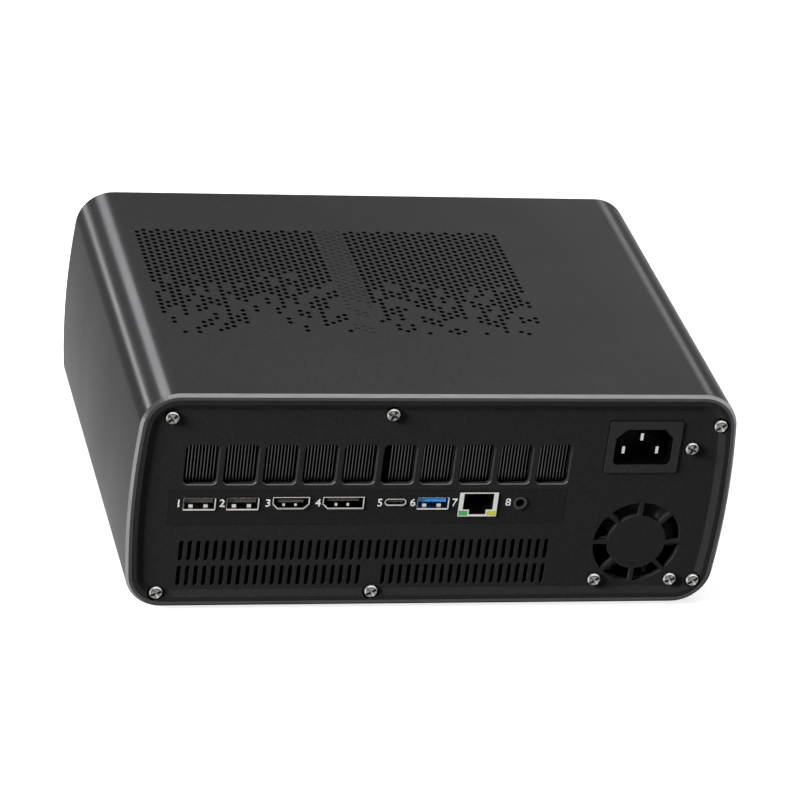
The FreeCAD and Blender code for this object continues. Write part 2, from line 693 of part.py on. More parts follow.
def board_capacitors():
    y = PROCESSOR_Y - COLD_PLATE[1] / 2 - 17
    return [rod((x, y, BOARD_TOP), (x, y, BOARD_TOP + CAPACITOR_H), CAPACITOR_R) for x in supply_row()]


def coin_cell():
    z = BOARD_TOP + COIN_LIFT
    return [rod((COIN_X, COIN_Y, z), (COIN_X, COIN_Y, z + COIN_T), COIN_R)]


def coin_cell_holder():
    z = BOARD_TOP + COIN_LIFT
    cup = rod((COIN_X, COIN_Y, BOARD_TOP), (COIN_X, COIN_Y, z + 0.75 * COIN_T), COIN_R + COIN_WALL)
    return [cup.cut(rod((COIN_X, COIN_Y, z), (COIN_X, COIN_Y, z + COIN_T), COIN_R + FIT))]


def ssd_cards():
    """Two long cards on sockets; each is notched round the screw at its front end."""
    z = BOARD_TOP + SSD_LIFT
    cards = []
    for x in SSD_X:
        card = box(x - SSD[0] / 2, x + SSD[0] / 2, SSD_Y0, SSD_Y0 + SSD[1], z, z + SSD[2])
        cards.append(card.cut(rod((x, SSD_Y0, z - 1), (x, SSD_Y0, z + 2), SMALL_R + FIT)))
    return cards


def ssd_chips():
    z = BOARD_TOP + SSD_LIFT + SSD[2]
    return [chip(x, SSD_Y0 + y, SSD_CHIP, z) for x in SSD_X for y in SSD_CHIPS_AT]


def ssd_sockets():
    z = BOARD_TOP + SSD_LIFT
    sockets = []
    for x in SSD_X:
        y = SSD_Y0 + SSD[1]
        body = box(x - SSD[0] / 2, x + SSD[0] / 2, y - 4, y + 4.5, BOARD_TOP, BOARD_TOP + 4.2)
        sockets.append(body.cut(box(x - 12, x + 12, y - 5, y + TOUCH, z - TOUCH, z + SSD[2] + TOUCH)))
    return sockets


def ssd_screws():
    """A small post on the board and the screw in it, turned as one piece."""
    z = BOARD_TOP + SSD_LIFT
    screws = []
    for x in SSD_X:
        post = rod((x, SSD_Y0, BOARD_TOP), (x, SSD_Y0, z), SSD_POST_R)
        neck = rod((x, SSD_Y0, z), (x, SSD_Y0, z + SSD[2]), SMALL_R)
        head = rod((x, SSD_Y0, z + SSD[2]), (x, SSD_Y0, z + SSD[2] + 1), SSD_POST_R)
        screws.append(joined([post, neck, head]))
    return screws


def wireless_card():
    """A short card with its shield can, flat on the socket that holds it."""
    w, d, t = WIRELESS
    z = BOARD_TOP + SSD_LIFT
    y = WIRELESS_Y + d
    card = chip(WIRELESS_X, y - d / 2, WIRELESS, z)
    socket = box(WIRELESS_X - w / 2, WIRELESS_X + w / 2, y - 4, y + 3, BOARD_TOP, z)
    can = chip(WIRELESS_X, y - d / 2 - 2.5, WIRELESS_CAN, z + t)
    return [joined([card, socket, can])]


# ================================================================ cooling
def cold_plate_posts():
    w, d, _ = COLD_PLATE
    return [(MID_X + sx * (w / 2 - 5), PROCESSOR_Y + sy * (d / 2 - 5)) for sx in (-1, 1) for sy in (-1, 1)]


def cold_plate():
    slab = chip(MID_X, PROCESSOR_Y, COLD_PLATE, DIE_TOP)
    holes = [rod((x, y, DIE_TOP - 1), (x, y, PIPE_Z0 + 1), SCREW_R + SCREW_GAP) for x, y in cold_plate_posts()]
    seats = [rod((x, y, PIPE_Z0 - HEAD_H - 0.1), (x, y, PIPE_Z0 + 1), HEAD_R + FIT) for x, y in cold_plate_posts()]
    return [less(slab, holes + seats)]


def cold_plate_screws():
    z = PIPE_Z0 - HEAD_H - 0.1
    return [pan_screw(x, y, z, (0, 0, 1), z - BOARD_Z0 + 1) for x, y in cold_plate_posts()]


def heat_pipe(side, x_off, bend, x_end):
    """A flat pipe that leaves the cold plate rearwards and turns outwards along its fin stack."""
    half = PIPE_W / 2
    y0 = PROCESSOR_Y - COLD_PLATE[1] / 2 + 1
    turn_y = FIN_Y0 - SLIDE_GAP - PIPE_GAP - PIPE_W / 2
    centre = V(x_off + bend, turn_y, PIPE_Z0)
    run = box(x_off - half, x_off + half, y0, turn_y, PIPE_Z0, PIPE_Z0 + PIPE_T)
    elbow = Part.makeCylinder(bend + half, PIPE_T, centre, V(0, 0, 1), 90)
    elbow = elbow.cut(Part.makeCylinder(bend - half, PIPE_T, centre)).rotated(centre, V(0, 0, 1), 90)
    y = turn_y + bend
    tail = box(centre.x, x_end, y - half, y + half, PIPE_Z0, PIPE_Z0 + PIPE_T)
    pipe_body = joined([run, elbow, tail])
    if side < 0:
        pipe_body = pipe_body.mirror(V(0, 0, 0), V(1, 0, 0))
    return pipe_body.translated(V(MID_X, 0, 0))


def heat_pipes():
    pitch = PIPE_W + PIPE_GAP
    pipes = []
    for side in (-1, 1):
        for i in (0, 1):
            bend = PIPE_BEND + pitch * (1 - i)
            end = (FIN_X1 - MID_X if side > 0 else MID_X - FIN_X0) - 4
            pipes.append(heat_pipe(side, pitch * (i + 0.5), bend, end))
    return pipes


def fin_stack(x0, x1):
    """Thin upright fins folded into one block, open from front to rear."""
    count = int((x1 - x0 - FIN_T) / FIN_PITCH)
    width = count * FIN_PITCH + FIN_T
    block = box(x0, x0 + width, FIN_Y0, FIN_Y1, FIN_Z0, FIN_Z0 + FIN_H)
    gaps = [
        box(x0 + FIN_T + i * FIN_PITCH, x0 + (i + 1) * FIN_PITCH, FIN_Y0 - 1, FIN_Y1 + 1, FIN_Z0 + FIN_T,
            FIN_Z0 + FIN_H - FIN_T)
        for i in range(count)
    ]
    return less(block, gaps)


def fin_stacks():
    return [fin_stack(FIN_X0, MID_X - 1), fin_stack(MID_X + 1, FIN_X1)]


def blower_x(side):
    return MID_X + side * BLOWER_DX


def blower_posts():
    """Two screws per blower, in the corners away from the fins."""
    y = BLOWER_Y - BLOWER_W / 2 + 5
    return [(blower_x(side) + dx * (BLOWER_W / 2 - 5), y) for side in (-1, 1) for dx in (-1, 1)]


def blower_channel(x, half, z0, z1, open_by=0):
    """A round chamber with a straight duct towards the fins."""
    chamber = rod((x, BLOWER_Y, z0), (x, BLOWER_Y, z1), half)
    duct = box(x - half, x + half, BLOWER_Y, BLOWER_Y1 + open_by, z0, z1)
    return joined([chamber, duct])


def blower_housing(side):
    x = blower_x(side)
    half = BLOWER_W / 2
    z0, z_floor, z1 = FIN_Z0, FIN_Z0 + BLOWER_BASE, BLOWER_Z1 - BLOWER_WALL
    base = box(x - half, x + half, BLOWER_Y - half, BLOWER_Y1, z0, z_floor)
    inner = blower_channel(x, half - BLOWER_WALL, z_floor, z1 + 1, 1)
    wall = blower_channel(x, half, z_floor, z1).cut(inner)
    bearing = rod((x, BLOWER_Y, z_floor), (x, BLOWER_Y, z_floor + 7), 5.0)
    corners = [(px, py) for px, py in blower_posts() if abs(px - x) < half]
    posts = [rod((px, py, BOARD_TOP), (px, py, z0), SCREW_R + 1.2) for px, py in corners]
    bores = [rod((px, py, BOARD_TOP + 2), (px, py, z_floor + 1), SCREW_R + SCREW_GAP) for px, py in corners]
    bores.append(rod((x, BLOWER_Y, z0 + 0.8), (x, BLOWER_Y, z_floor + 8), SHAFT_R + RUN_GAP))
    return [less(joined([base, wall, bearing] + posts), bores)]


def blower_covers():
    covers = []
    for side in (-1, 1):
        x = blower_x(side)
        lid = blower_channel(x, BLOWER_W / 2, BLOWER_Z1 - BLOWER_WALL, BLOWER_Z1)
        covers.append(lid.cut(rod((x, BLOWER_Y, BLOWER_Z1 - 3), (x, BLOWER_Y, BLOWER_Z1 + 1), EYE_R)))
    return covers


def impeller(side):
    """A cup on its shaft with many upright blades around it."""
    x = blower_x(side)
    z_floor = FIN_Z0 + BLOWER_BASE
    z0, z1 = z_floor + 0.8, BLOWER_Z1 - BLOWER_WALL - 1
    cup = rod((x, BLOWER_Y, z0), (x, BLOWER_Y, z1), IMPELLER_HUB_R)
    cup = cup.cut(rod((x, BLOWER_Y, z0 - 1), (x, BLOWER_Y, z_floor + 9), 7.0))
    shaft = rod((x, BLOWER_Y, z_floor - 0.5), (x, BLOWER_Y, z1), SHAFT_R)
    blade = box(x + IMPELLER_HUB_R - 0.5, x + IMPELLER_R, BLOWER_Y - 0.4, BLOWER_Y + 0.4, z0 + 0.8, z1)
    lean = blade.rotated(V(x + IMPELLER_HUB_R, BLOWER_Y, 0), V(0, 0, 1), 24)
    blades = [
        lean.rotated(V(x, BLOWER_Y, 0), V(0, 0, 1), 360 * i / IMPELLER_BLADES) for i in range(IMPELLER_BLADES)
    ]
    return [joined([cup, shaft] + blades)]


# ================================================================ rear and front sockets
def tube_shell(wire, depth):
    """A thin metal sleeve around a socket, from its mouth at the wire to depth behind it."""
    return along_y(wire, depth).cut(along_y(grown(wire, -SHELL_T), depth))


def springs(x, y, depth, floor_z, spread):
    """Two contact springs on a socket's floor, behind its mouth at y."""
    w, d, h = SPRING
    step = depth / abs(depth)
    near, far = y + SPRING_BACK * step, y + (SPRING_BACK + d) * step
    z = floor_z + SHELL_T - TOUCH
    return [
        box(x + dx - w / 2, x + dx + w / 2, min(near, far), max(near, far), z, z + h) for dx in (-spread, spread)
    ]


def plug_block(wire, mouth_y, depth, back):
    """The moulding that closes the rear of a sleeve; back is its thickness."""
    block = along_y(grown(wire, -SHELL_T - TOUCH), depth)
    front_y = mouth_y + (depth - back if depth > 0 else depth + back)
    mask = box(-CASE_W, CASE_W, min(front_y, mouth_y), max(front_y, mouth_y), 0, CASE_H)
    return block.cut(mask)


def type_a_places():
    """Each socket's x, mouth and depth: three at the rear and two at the front."""
    rear = [(BOARD_X1 - at, SOCKET_Y, -SHELL_D) for at in TYPE_A_AT + (FAST_AT,)]
    return rear + [(BOARD_X1 - at, FRONT_Y, SHELL_D) for at in FRONT_TYPE_A_AT]


def type_a_outline(x, y):
    w, h = TYPE_A
    return rounded(x - w / 2, x + w / 2, BOARD_TOP, BOARD_TOP + h, 0.5, y)


def type_a_shells():
    return [
        joined([tube_shell(type_a_outline(x, y), depth)] + springs(x, y, depth, BOARD_TOP, TYPE_A_SPRING))
        for x, y, depth in type_a_places()
    ]


def type_a_tongue(x, y, depth):
    step = depth / abs(depth)
    back = plug_block(type_a_outline(x, y), y, depth, 3.5)
    y0, y1 = y + 1.4 * step, y + depth - 3 * step
    top = BOARD_TOP + TYPE_A[1] - SHELL_T - 0.55
    return joined([back, box(x - 5.5, x + 5.5, min(y0, y1), max(y0, y1), top - 1.9, top)])


def type_a_tongues():
    return [type_a_tongue(*place) for i, place in enumerate(type_a_places()) if i != 2]


def fast_port_tongue():
    return [type_a_tongue(*type_a_places()[2])]


def video_a_outline(x, y):
    """A flat socket whose two lower corners slant in."""
    w, h = VIDEO_A
    z = BOARD_TOP + VIDEO_RAISE
    half, cut = w / 2, VIDEO_CUT
    points = [(x - half, z + h), (x + half, z + h), (x + half, z + cut), (x + half - cut, z)]
    return polygon(points + [(x - half + cut, z), (x - half, z + cut)], y)


def video_b_outline(x, y):
    """A flat socket with one lower corner cut off, on the side away from the supply."""
    w, h = VIDEO_B
    z = BOARD_TOP + VIDEO_RAISE
    half, cut = w / 2, VIDEO_CUT
    points = [(x - half, z + h), (x + half, z + h), (x + half, z + cut), (x + half - cut, z), (x - half, z)]
    return polygon(points, y)


def video_outlines(y):
    return [video_a_outline(BOARD_X1 - VIDEO_A_AT, y), video_b_outline(BOARD_X1 - VIDEO_B_AT, y)]


def socket_base(x, w, raise_by):
    """The part of a moulding that carries a raised sleeve on the board."""
    return box(x - w / 2, x + w / 2, SOCKET_Y - SHELL_D, BOARD_Y1, BOARD_TOP, BOARD_TOP + raise_by)


def video_port_shells():
    return [
        joined(
            [tube_shell(wire, -SHELL_D)]
            + springs(BOARD_X1 - at, SOCKET_Y, -SHELL_D, BOARD_TOP + VIDEO_RAISE, VIDEO_SPRING)
        )
        for at, wire in zip((VIDEO_A_AT, VIDEO_B_AT), video_outlines(SOCKET_Y))
    ]


def video_port_inserts():
    inserts = []
    wires = video_outlines(SOCKET_Y)
    for at, wire, width, lift in ((VIDEO_A_AT, wires[0], 10.4, 2.6), (VIDEO_B_AT, wires[1], 12.6, 3.1)):
        x = BOARD_X1 - at
        z = BOARD_TOP + VIDEO_RAISE + lift
        back = plug_block(wire, SOCKET_Y, -SHELL_D, 4)
        tongue = box(x - width / 2, x + width / 2, SOCKET_Y - SHELL_D + 3, SOCKET_Y - 1.2, z, z + 1.1)
        inserts.append(joined([back, tongue]))
        inserts.append(socket_base(x, VIDEO_A[0] - 2 * VIDEO_CUT, VIDEO_RAISE))
    return inserts


def type_c_outline(y):
    w, h = TYPE_C
    x, z = BOARD_X1 - TYPE_C_AT, BOARD_TOP + TYPE_C_RAISE
    return rounded(x - w / 2, x + w / 2, z, z + h, h / 2 - 0.01, y)


def type_c_shell():
    return [tube_shell(type_c_outline(SOCKET_Y), -SHELL_D)]


def type_c_insert():
    x, z = BOARD_X1 - TYPE_C_AT, BOARD_TOP + TYPE_C_RAISE + TYPE_C[1] / 2
    back = plug_block(type_c_outline(SOCKET_Y), SOCKET_Y, -SHELL_D, 5)
    tongue = box(x - 3.3, x + 3.3, SOCKET_Y - SHELL_D + 4, SOCKET_Y - 0.9, z - 0.35, z + 0.35)
    return [joined([back, tongue]), socket_base(x, TYPE_C[0] - 1, TYPE_C_RAISE)]


def jack_x():
    return BOARD_X1 - JACK_AT


def jack_opening(grow, y):
    """The plug's opening: a rectangle with a notch for the latch below it."""
    x, z0 = jack_x(), BOARD_TOP - JACK_DROP
    w, h = JACK_OPENING[0] / 2 + grow, JACK_OPENING[1] + grow
    n, d = JACK_NOTCH[0] / 2 + grow, JACK_NOTCH[1] + grow
    z = z0 + JACK_WALL + JACK_NOTCH[1]
    points = [(x - w, z + h), (x + w, z + h), (x + w, z - grow), (x + n, z - grow), (x + n, z - d)]
    return polygon(points + [(x - n, z - d), (x - n, z - grow), (x - w, z - grow)], y)


def jack_light_boxes(grow):
    """The two lamps in the lower corners of the jack's face."""
    z0 = BOARD_TOP - JACK_DROP + 0.5
    inner, outer = JACK_NOTCH[0] / 2 + 0.9, JACK[0] / 2 - 0.5
    return [
        box(
            jack_x() + min(s * inner, s * outer) - grow, jack_x() + max(s * inner, s * outer) + grow,
            SOCKET_Y - 4 - grow, SOCKET_Y + 0.1, z0 - grow, z0 + 2.0 + grow,
        )
        for s in (-1, 1)
    ]


def network_jack_shell():
    x, z0 = jack_x(), BOARD_TOP - JACK_DROP
    w, h, d = JACK
    outline = rounded(x - w / 2, x + w / 2, z0, z0 + h, 0.4, SOCKET_Y)
    body = along_y(outline, -d)
    hollow = along_y(grown(outline, -SHELL_T), -d)
    hollow.translate(V(0, -SHELL_T, 0))
    mouth = along_y(jack_opening(0.25, SOCKET_Y + 1), -3)
    return [less(body, [hollow, mouth] + jack_light_boxes(0.1))]


def network_jack_insert():
    """The moulding inside the jack, with the plug's pocket and a row of contacts along its roof."""
    x, z0 = jack_x(), BOARD_TOP - JACK_DROP
    w, h, d = JACK
    y1 = SOCKET_Y - SHELL_T - TOUCH
    block = along_y(grown(rounded(x - w / 2, x + w / 2, z0, z0 + h, 0.4, y1), -SHELL_T - TOUCH), -d + 1)
    pocket = along_y(jack_opening(0, y1 + 1), -15)
    body = less(block, [pocket] + jack_light_boxes(0.1))
    roof = z0 + JACK_WALL + JACK_NOTCH[1] + JACK_OPENING[1]
    contacts = [
        box(x + (i - 3.5) * 1.02 - 0.25, x + (i - 3.5) * 1.02 + 0.25, y1 - 12, y1 - 2, roof - 0.5, roof + 0.2)
        for i in range(8)
    ]
    return [joined([body] + contacts)]


def network_jack_lights():
    return jack_light_boxes(0)


def audio_jacks():
    """A moulded body on the board and a barrel through the panel, at the rear and at the front."""
    z = BOARD_TOP + BARREL_R
    jacks = []
    for x, mouth, inward in ((BOARD_X1 - AUDIO_AT, SOCKET_Y, -1), (BOARD_X1 - FRONT_AUDIO_AT, FRONT_Y, 1)):
        barrel = rod((x, mouth, z), (x, mouth + 5 * inward, z), BARREL_R)
        y0, y1 = mouth + 5 * inward, mouth + 16 * inward
        body = box(x - 3.1, x + 3.1, min(y0, y1), max(y0, y1), BOARD_TOP, BOARD_TOP + 2 * BARREL_R)
        bore = rod((x, mouth - inward, z), (x, mouth + 14.5 * inward, z), BARREL_BORE_R)
        jacks.append(joined([barrel, body]).cut(bore))
    return jacks


def io_plate():
    plate = along_y(io_plate_outline(0, FLOOR_Y - PLATE_T), PLATE_T)
    y = FLOOR_Y - PLATE_T - 1
    wires = [type_a_outline(x, y) for x, _, depth in type_a_places() if depth < 0]
    wires += video_outlines(y) + [type_c_outline(y)]
    jack = rounded(
        jack_x() - JACK[0] / 2, jack_x() + JACK[0] / 2, BOARD_TOP - JACK_DROP, BOARD_TOP - JACK_DROP + JACK[1], 0.4, y
    )
    cuts = [along_y(grown(wire, PORT_GAP), PLATE_T + 2) for wire in wires + [jack]]
    x, z = BOARD_X1 - AUDIO_AT, BOARD_TOP + BARREL_R
    cuts.append(rod((x, y, z), (x, FLOOR_Y + 1, z), BARREL_R + PORT_GAP))
    return [less(plate, cuts)]


# ================================================================ power supply
def psu_housing():
    """The supply's base: its outer side and both ends, with bosses for the circuit board."""
    t = PSU_T
    x1 = PSU_X1 - t - FIT
    z0, z1 = PSU_Z0 + t + FIT, PSU_Z1 - t - FIT
    side = box(PSU_X0, PSU_X0 + t, PSU_Y0, PANEL_IN_Y, z0, z1)
    rear = box(PSU_X0, x1, PANEL_IN_Y - t, PANEL_IN_Y, z0, z1)
    front = box(PSU_X0, x1, PSU_Y0, PSU_Y0 + t, z0, z1)
    bosses = [rod((PSU_X0, y, z), (PSU_X0 + t + PSU_BOARD_GAP, y, z), 2.5) for y, z in psu_board_posts()]
    inserts = [rod((x, PANEL_IN_Y - 4, z), (x, PANEL_IN_Y, z), SCREW_R + 1) for x, z in PSU_SCREWS]
    cuts = [rod((x, PANEL_IN_Y - 5, z), (x, PANEL_IN_Y + 1, z), SCREW_R + SCREW_GAP) for x, z in PSU_SCREWS]
    cuts.append(along_y(inlet_outline(SLIDE_GAP, PANEL_IN_Y - t - 1), t + 2))
    cuts.append(rod((FAN_X, PANEL_IN_Y - t - 1, FAN_Z), (FAN_X, PANEL_IN_Y + 1, FAN_Z), FAN_BORE_R - 0.5))
    cuts.append(rod(cable_start(-1), cable_start(t + 1), CABLE_R + FIT))
    return [less(joined([side, rear, front] + bosses + inserts), cuts)]


def psu_cover():
    """The supply's cover: its inner side, top and bottom, with rows of air slots towards the bench."""
    t = PSU_T
    side = box(PSU_X1 - t, PSU_X1, PSU_Y0, PANEL_IN_Y, PSU_Z0, PSU_Z1)
    top = box(PSU_X0, PSU_X1, PSU_Y0, PANEL_IN_Y, PSU_Z1 - t, PSU_Z1)
    bottom = box(PSU_X0, PSU_X1, PSU_Y0, PANEL_IN_Y, PSU_Z0, PSU_Z0 + t)
    slots = [
        box(PSU_X1 - t - 1, PSU_X1 + 1, PSU_Y0 + 12 + 5 * i, PSU_Y0 + 14.5 + 5 * i, z, z + 18)
        for i in range(10)
        for z in (PSU_Z0 + 44, PSU_Z0 + 20)
    ]
    return [less(joined([side, top, bottom]), slots)]


def psu_board_posts():
    return [(y, z) for y in (PSU_Y0 + 8, FAN_Y1 - FAN_T - 16) for z in (PSU_Z0 + 8, PSU_Z1 - 8)]


def psu_board_face():
    """The side of the supply's circuit board that carries its parts."""
    return PSU_X0 + PSU_T + PSU_BOARD_GAP + BOARD_T


def psu_board():
    x, gap = psu_board_face(), PSU_BOARD_GAP
    return [box(x - BOARD_T, x, PSU_Y0 + gap, FAN_Y1 - FAN_T - 10, PSU_Z0 + gap, PSU_Z1 - gap)]


def psu_parts():
    """Transformer, chokes and capacitors on the supply's board."""
    x, y = psu_board_face(), PSU_Y0
    w, d, h = TRANSFORMER
    z = PSU_Z0 + 26
    transformer = box(x, x + w, y + 46, y + 46 + d, z, z + h)
    height, r_out, r_in = CHOKE
    choke = pipe((x, y + 98, PSU_Z0 + 20), (x + height, y + 98, PSU_Z0 + 20), r_out, r_in)
    height, r = BULK_CAPACITOR
    bulk = [rod((x, y + 96, z), (x + height, y + 96, z), r) for z in (PSU_Z0 + 46, PSU_Z0 + 67)]
    height, r = SMALL_CAPACITOR
    small = [rod((x, y + 14, z), (x + height, y + 14, z), r) for z in (PSU_Z0 + 12, PSU_Z0 + 26, PSU_Z0 + 40)]
    return [transformer, choke] + bulk + small


def psu_heat_sinks():
    """Two upright plates with short ribs on their outer halves."""
    x, z0 = psu_board_face(), PSU_Z0 + 10
    w, t, h = SINK
    sinks = []
    for y in (PSU_Y0 + 38, PSU_Y0 + 80):
        levels = [z0 + SINK_FIN_PITCH * i for i in range(SINK_FINS)]
        ribs = [box(x + w / 2, x + w, y, y + 2.5 * t, z, z + 0.6 * t) for z in levels]
        sinks.append(joined([box(x, x + w, y, y + t, z0, z0 + h)] + ribs))
    return sinks


def psu_fan_frame():
    """A square frame; three struts at its inner face carry the rotor's bearing."""
    half = FAN_SIZE / 2
    y0, y1 = FAN_Y1 - FAN_T, FAN_Y1
    frame = box(FAN_X - half, FAN_X + half, y0, y1, FAN_Z - half, FAN_Z + half)
    frame = frame.cut(rod((FAN_X, y0 - 1, FAN_Z), (FAN_X, y1 + 1, FAN_Z), FAN_BORE_R))
    strut = box(FAN_X - 1.2, FAN_X + 1.2, y0, y0 + 2, FAN_Z, FAN_Z + FAN_BORE_R + 0.5)
    struts = [strut.rotated(V(FAN_X, 0, FAN_Z), V(0, 1, 0), 120 * i) for i in range(3)]
    disc = rod((FAN_X, y0, FAN_Z), (FAN_X, y0 + 2, FAN_Z), FAN_HUB_R)
    sleeve = rod((FAN_X, y0, FAN_Z), (FAN_X, y0 + 8, FAN_Z), 3.5)
    bore = rod((FAN_X, y0 + 0.6, FAN_Z), (FAN_X, y0 + 9, FAN_Z), SHAFT_R + RUN_GAP)
    screw_tips = [rod((x, y1 - 6, z), (x, y1 + 1, z), SCREW_R + 1 + FIT) for x, z in PSU_SCREWS]
    return [less(joined([frame, disc, sleeve] + struts), [bore] + screw_tips)]


def psu_fan_rotor():
    y0, y1 = FAN_Y1 - FAN_T + 2.6, FAN_Y1 - 1
    cup = rod((FAN_X, y0, FAN_Z), (FAN_X, y1, FAN_Z), FAN_HUB_R)
    cup = cup.cut(rod((FAN_X, y0 - 1, FAN_Z), (FAN_X, y1 - 1.5, FAN_Z), FAN_HUB_R - 1))
    shaft = rod((FAN_X, y0 - 1.5, FAN_Z), (FAN_X, y1, FAN_Z), SHAFT_R)
    depth = (y1 - y0) / 2 - 0.6
    blade = box(FAN_X - 0.5, FAN_X + 0.5, -depth, depth, FAN_Z + FAN_HUB_R - 0.5, FAN_Z + FAN_TIP_R)
    blade = blade.rotated(V(FAN_X, 0, FAN_Z), V(0, 0, 1), FAN_PITCH).translated(V(0, (y0 + y1) / 2, 0))
    turns = [FAN_START + 360 * i / FAN_BLADES for i in range(FAN_BLADES)]
    blades = [blade.rotated(V(FAN_X, 0, FAN_Z), V(0, 1, 0), a) for a in turns]
    return [joined([cup, shaft] + blades)]


def psu_screws():
    return [pan_screw(x, FLOOR_Y, z, (0, 1, 0), PANEL_T + 3) for x, z in PSU_SCREWS]


def socket_outline(grow, y):
    """The mains socket's mouth: upper corners slanted, lower corners round."""
    half_w, half_h, c = SOCKET_W / 2 + grow, SOCKET_H / 2 + grow, SOCKET_CHAMFER
    r = SOCKET_CORNER_R + grow
    x0, x1, z0, z1 = INLET_CX - half_w, INLET_CX + half_w, INLET_Z - half_h, INLET_Z + half_h
    return Part.Wire(
        [
            line(x0 + r, z0, x1 - r, z0, y),
            arc(x1 - r, z0 + r, r, -90, 0, y),
            line(x1, z0 + r, x1, z1 - c, y),
            line(x1, z1 - c, x1 - c, z1, y),
            line(x1 - c, z1, x0 + c, z1, y),
            line(x0 + c, z1, x0, z1 - c, y),
            line(x0, z1 - c, x0, z0 + r, y),
            arc(x0 + r, z0 + r, r, 180, 270, y),
        ]
    )


def inlet_blade_places():
    """The earth blade above and between the two others."""
    low = INLET_Z - 3.4
    return [(INLET_CX, INLET_Z + 2.6), (INLET_CX - BLADE_PITCH / 2, low), (INLET_CX + BLADE_PITCH / 2, low)]


def inlet_blade(x, z, grow, y0, y1):
    w, h = BLADE_W / 2 + grow, BLADE_H / 2 + grow
    return box(x - w, x + w, y0, y1, z - h, z + h)


def ac_inlet_body():
    flange = along_y(inlet_outline(0, PANEL_IN_Y - PSU_T - 2), SOCKET_MOUTH_Y - PANEL_IN_Y + PSU_T + 2)
    shroud = along_y(socket_outline(SOCKET_WALL, SOCKET_BACK_Y - 2), SOCKET_D)
    pocket = along_y(socket_outline(0, SOCKET_BACK_Y), SOCKET_D + 1)
    holes = [inlet_blade(x, z, SCREW_GAP, SOCKET_BACK_Y - 3, SOCKET_BACK_Y + 1) for x, z in inlet_blade_places()]
    return [less(joined([flange, shroud]), [pocket] + holes)]


def ac_inlet_blades():
    tip = SOCKET_MOUTH_Y - BLADE_BACK
    tail = SOCKET_BACK_Y - 9
    return [inlet_blade(x, z, 0, tail, tip) for x, z in inlet_blade_places()]


# ================================================================ cable from the supply to the board
def cable_start(back):
    """Where the cable leaves the supply's front end; back moves the point into the supply."""
    return (PSU_X, PSU_Y0 + back, CABLE_Z)


def turn(corner, out_x, out_y):
    """A quarter bend at a corner, going along +X after coming along -Y, or along +Y after +X."""
    r = CABLE_BEND
    k = r * (1 - cos(pi / 4))
    x, y = corner
    start = V(x - out_y * r, y + out_x * r, CABLE_Z)
    end = V(x + out_x * r, y + out_y * r, CABLE_Z)
    middle = V(x + (out_x - out_y) * k, y + (out_x + out_y) * k, CABLE_Z)
    return start, Part.Arc(start, middle, end).toShape(), end


def board_power_cable():
    """A round bundle: out of the supply, across its front and back to the plug on the board."""
    front_y = PSU_Y0 - CABLE_BEND - 4
    start = V(*cable_start(0))
    plug_end = V(PLUG_X, PLUG_Y0, CABLE_Z)
    a0, bend_a, a1 = turn((PSU_X, front_y), 1, 0)
    b0, bend_b, b1 = turn((PLUG_X, front_y), 0, 1)
    path = Part.Wire(
        [
            Part.LineSegment(start, a0).toShape(),
            bend_a,
            Part.LineSegment(a1, b0).toShape(),
            bend_b,
            Part.LineSegment(b1, plug_end).toShape(),
        ]
    )
    section = Part.Wire(Part.makeCircle(CABLE_R, start, V(0, -1, 0)))
    bundle = path.makePipeShell([section], True, False)
    expected = pi * CABLE_R**2 * path.Length
    print("cable: bend radius %.1f, volume %.1f of %.1f" % (CABLE_BEND, bundle.Volume, expected))
    return [bundle]


def board_power_plug():
    """The plug pushed down over its header."""
    w, d, h = PLUG
    header = box(PLUG_X - w / 2, PLUG_X + w / 2, PLUG_Y0 + 1, PLUG_Y0 + d, BOARD_TOP, BOARD_TOP + 4)
    plug = box(PLUG_X - w / 2 + 0.5, PLUG_X + w / 2 - 0.5, PLUG_Y0, PLUG_Y0 + d - 0.5, BOARD_TOP + 3, BOARD_TOP + h)
    return [joined([header, plug])]


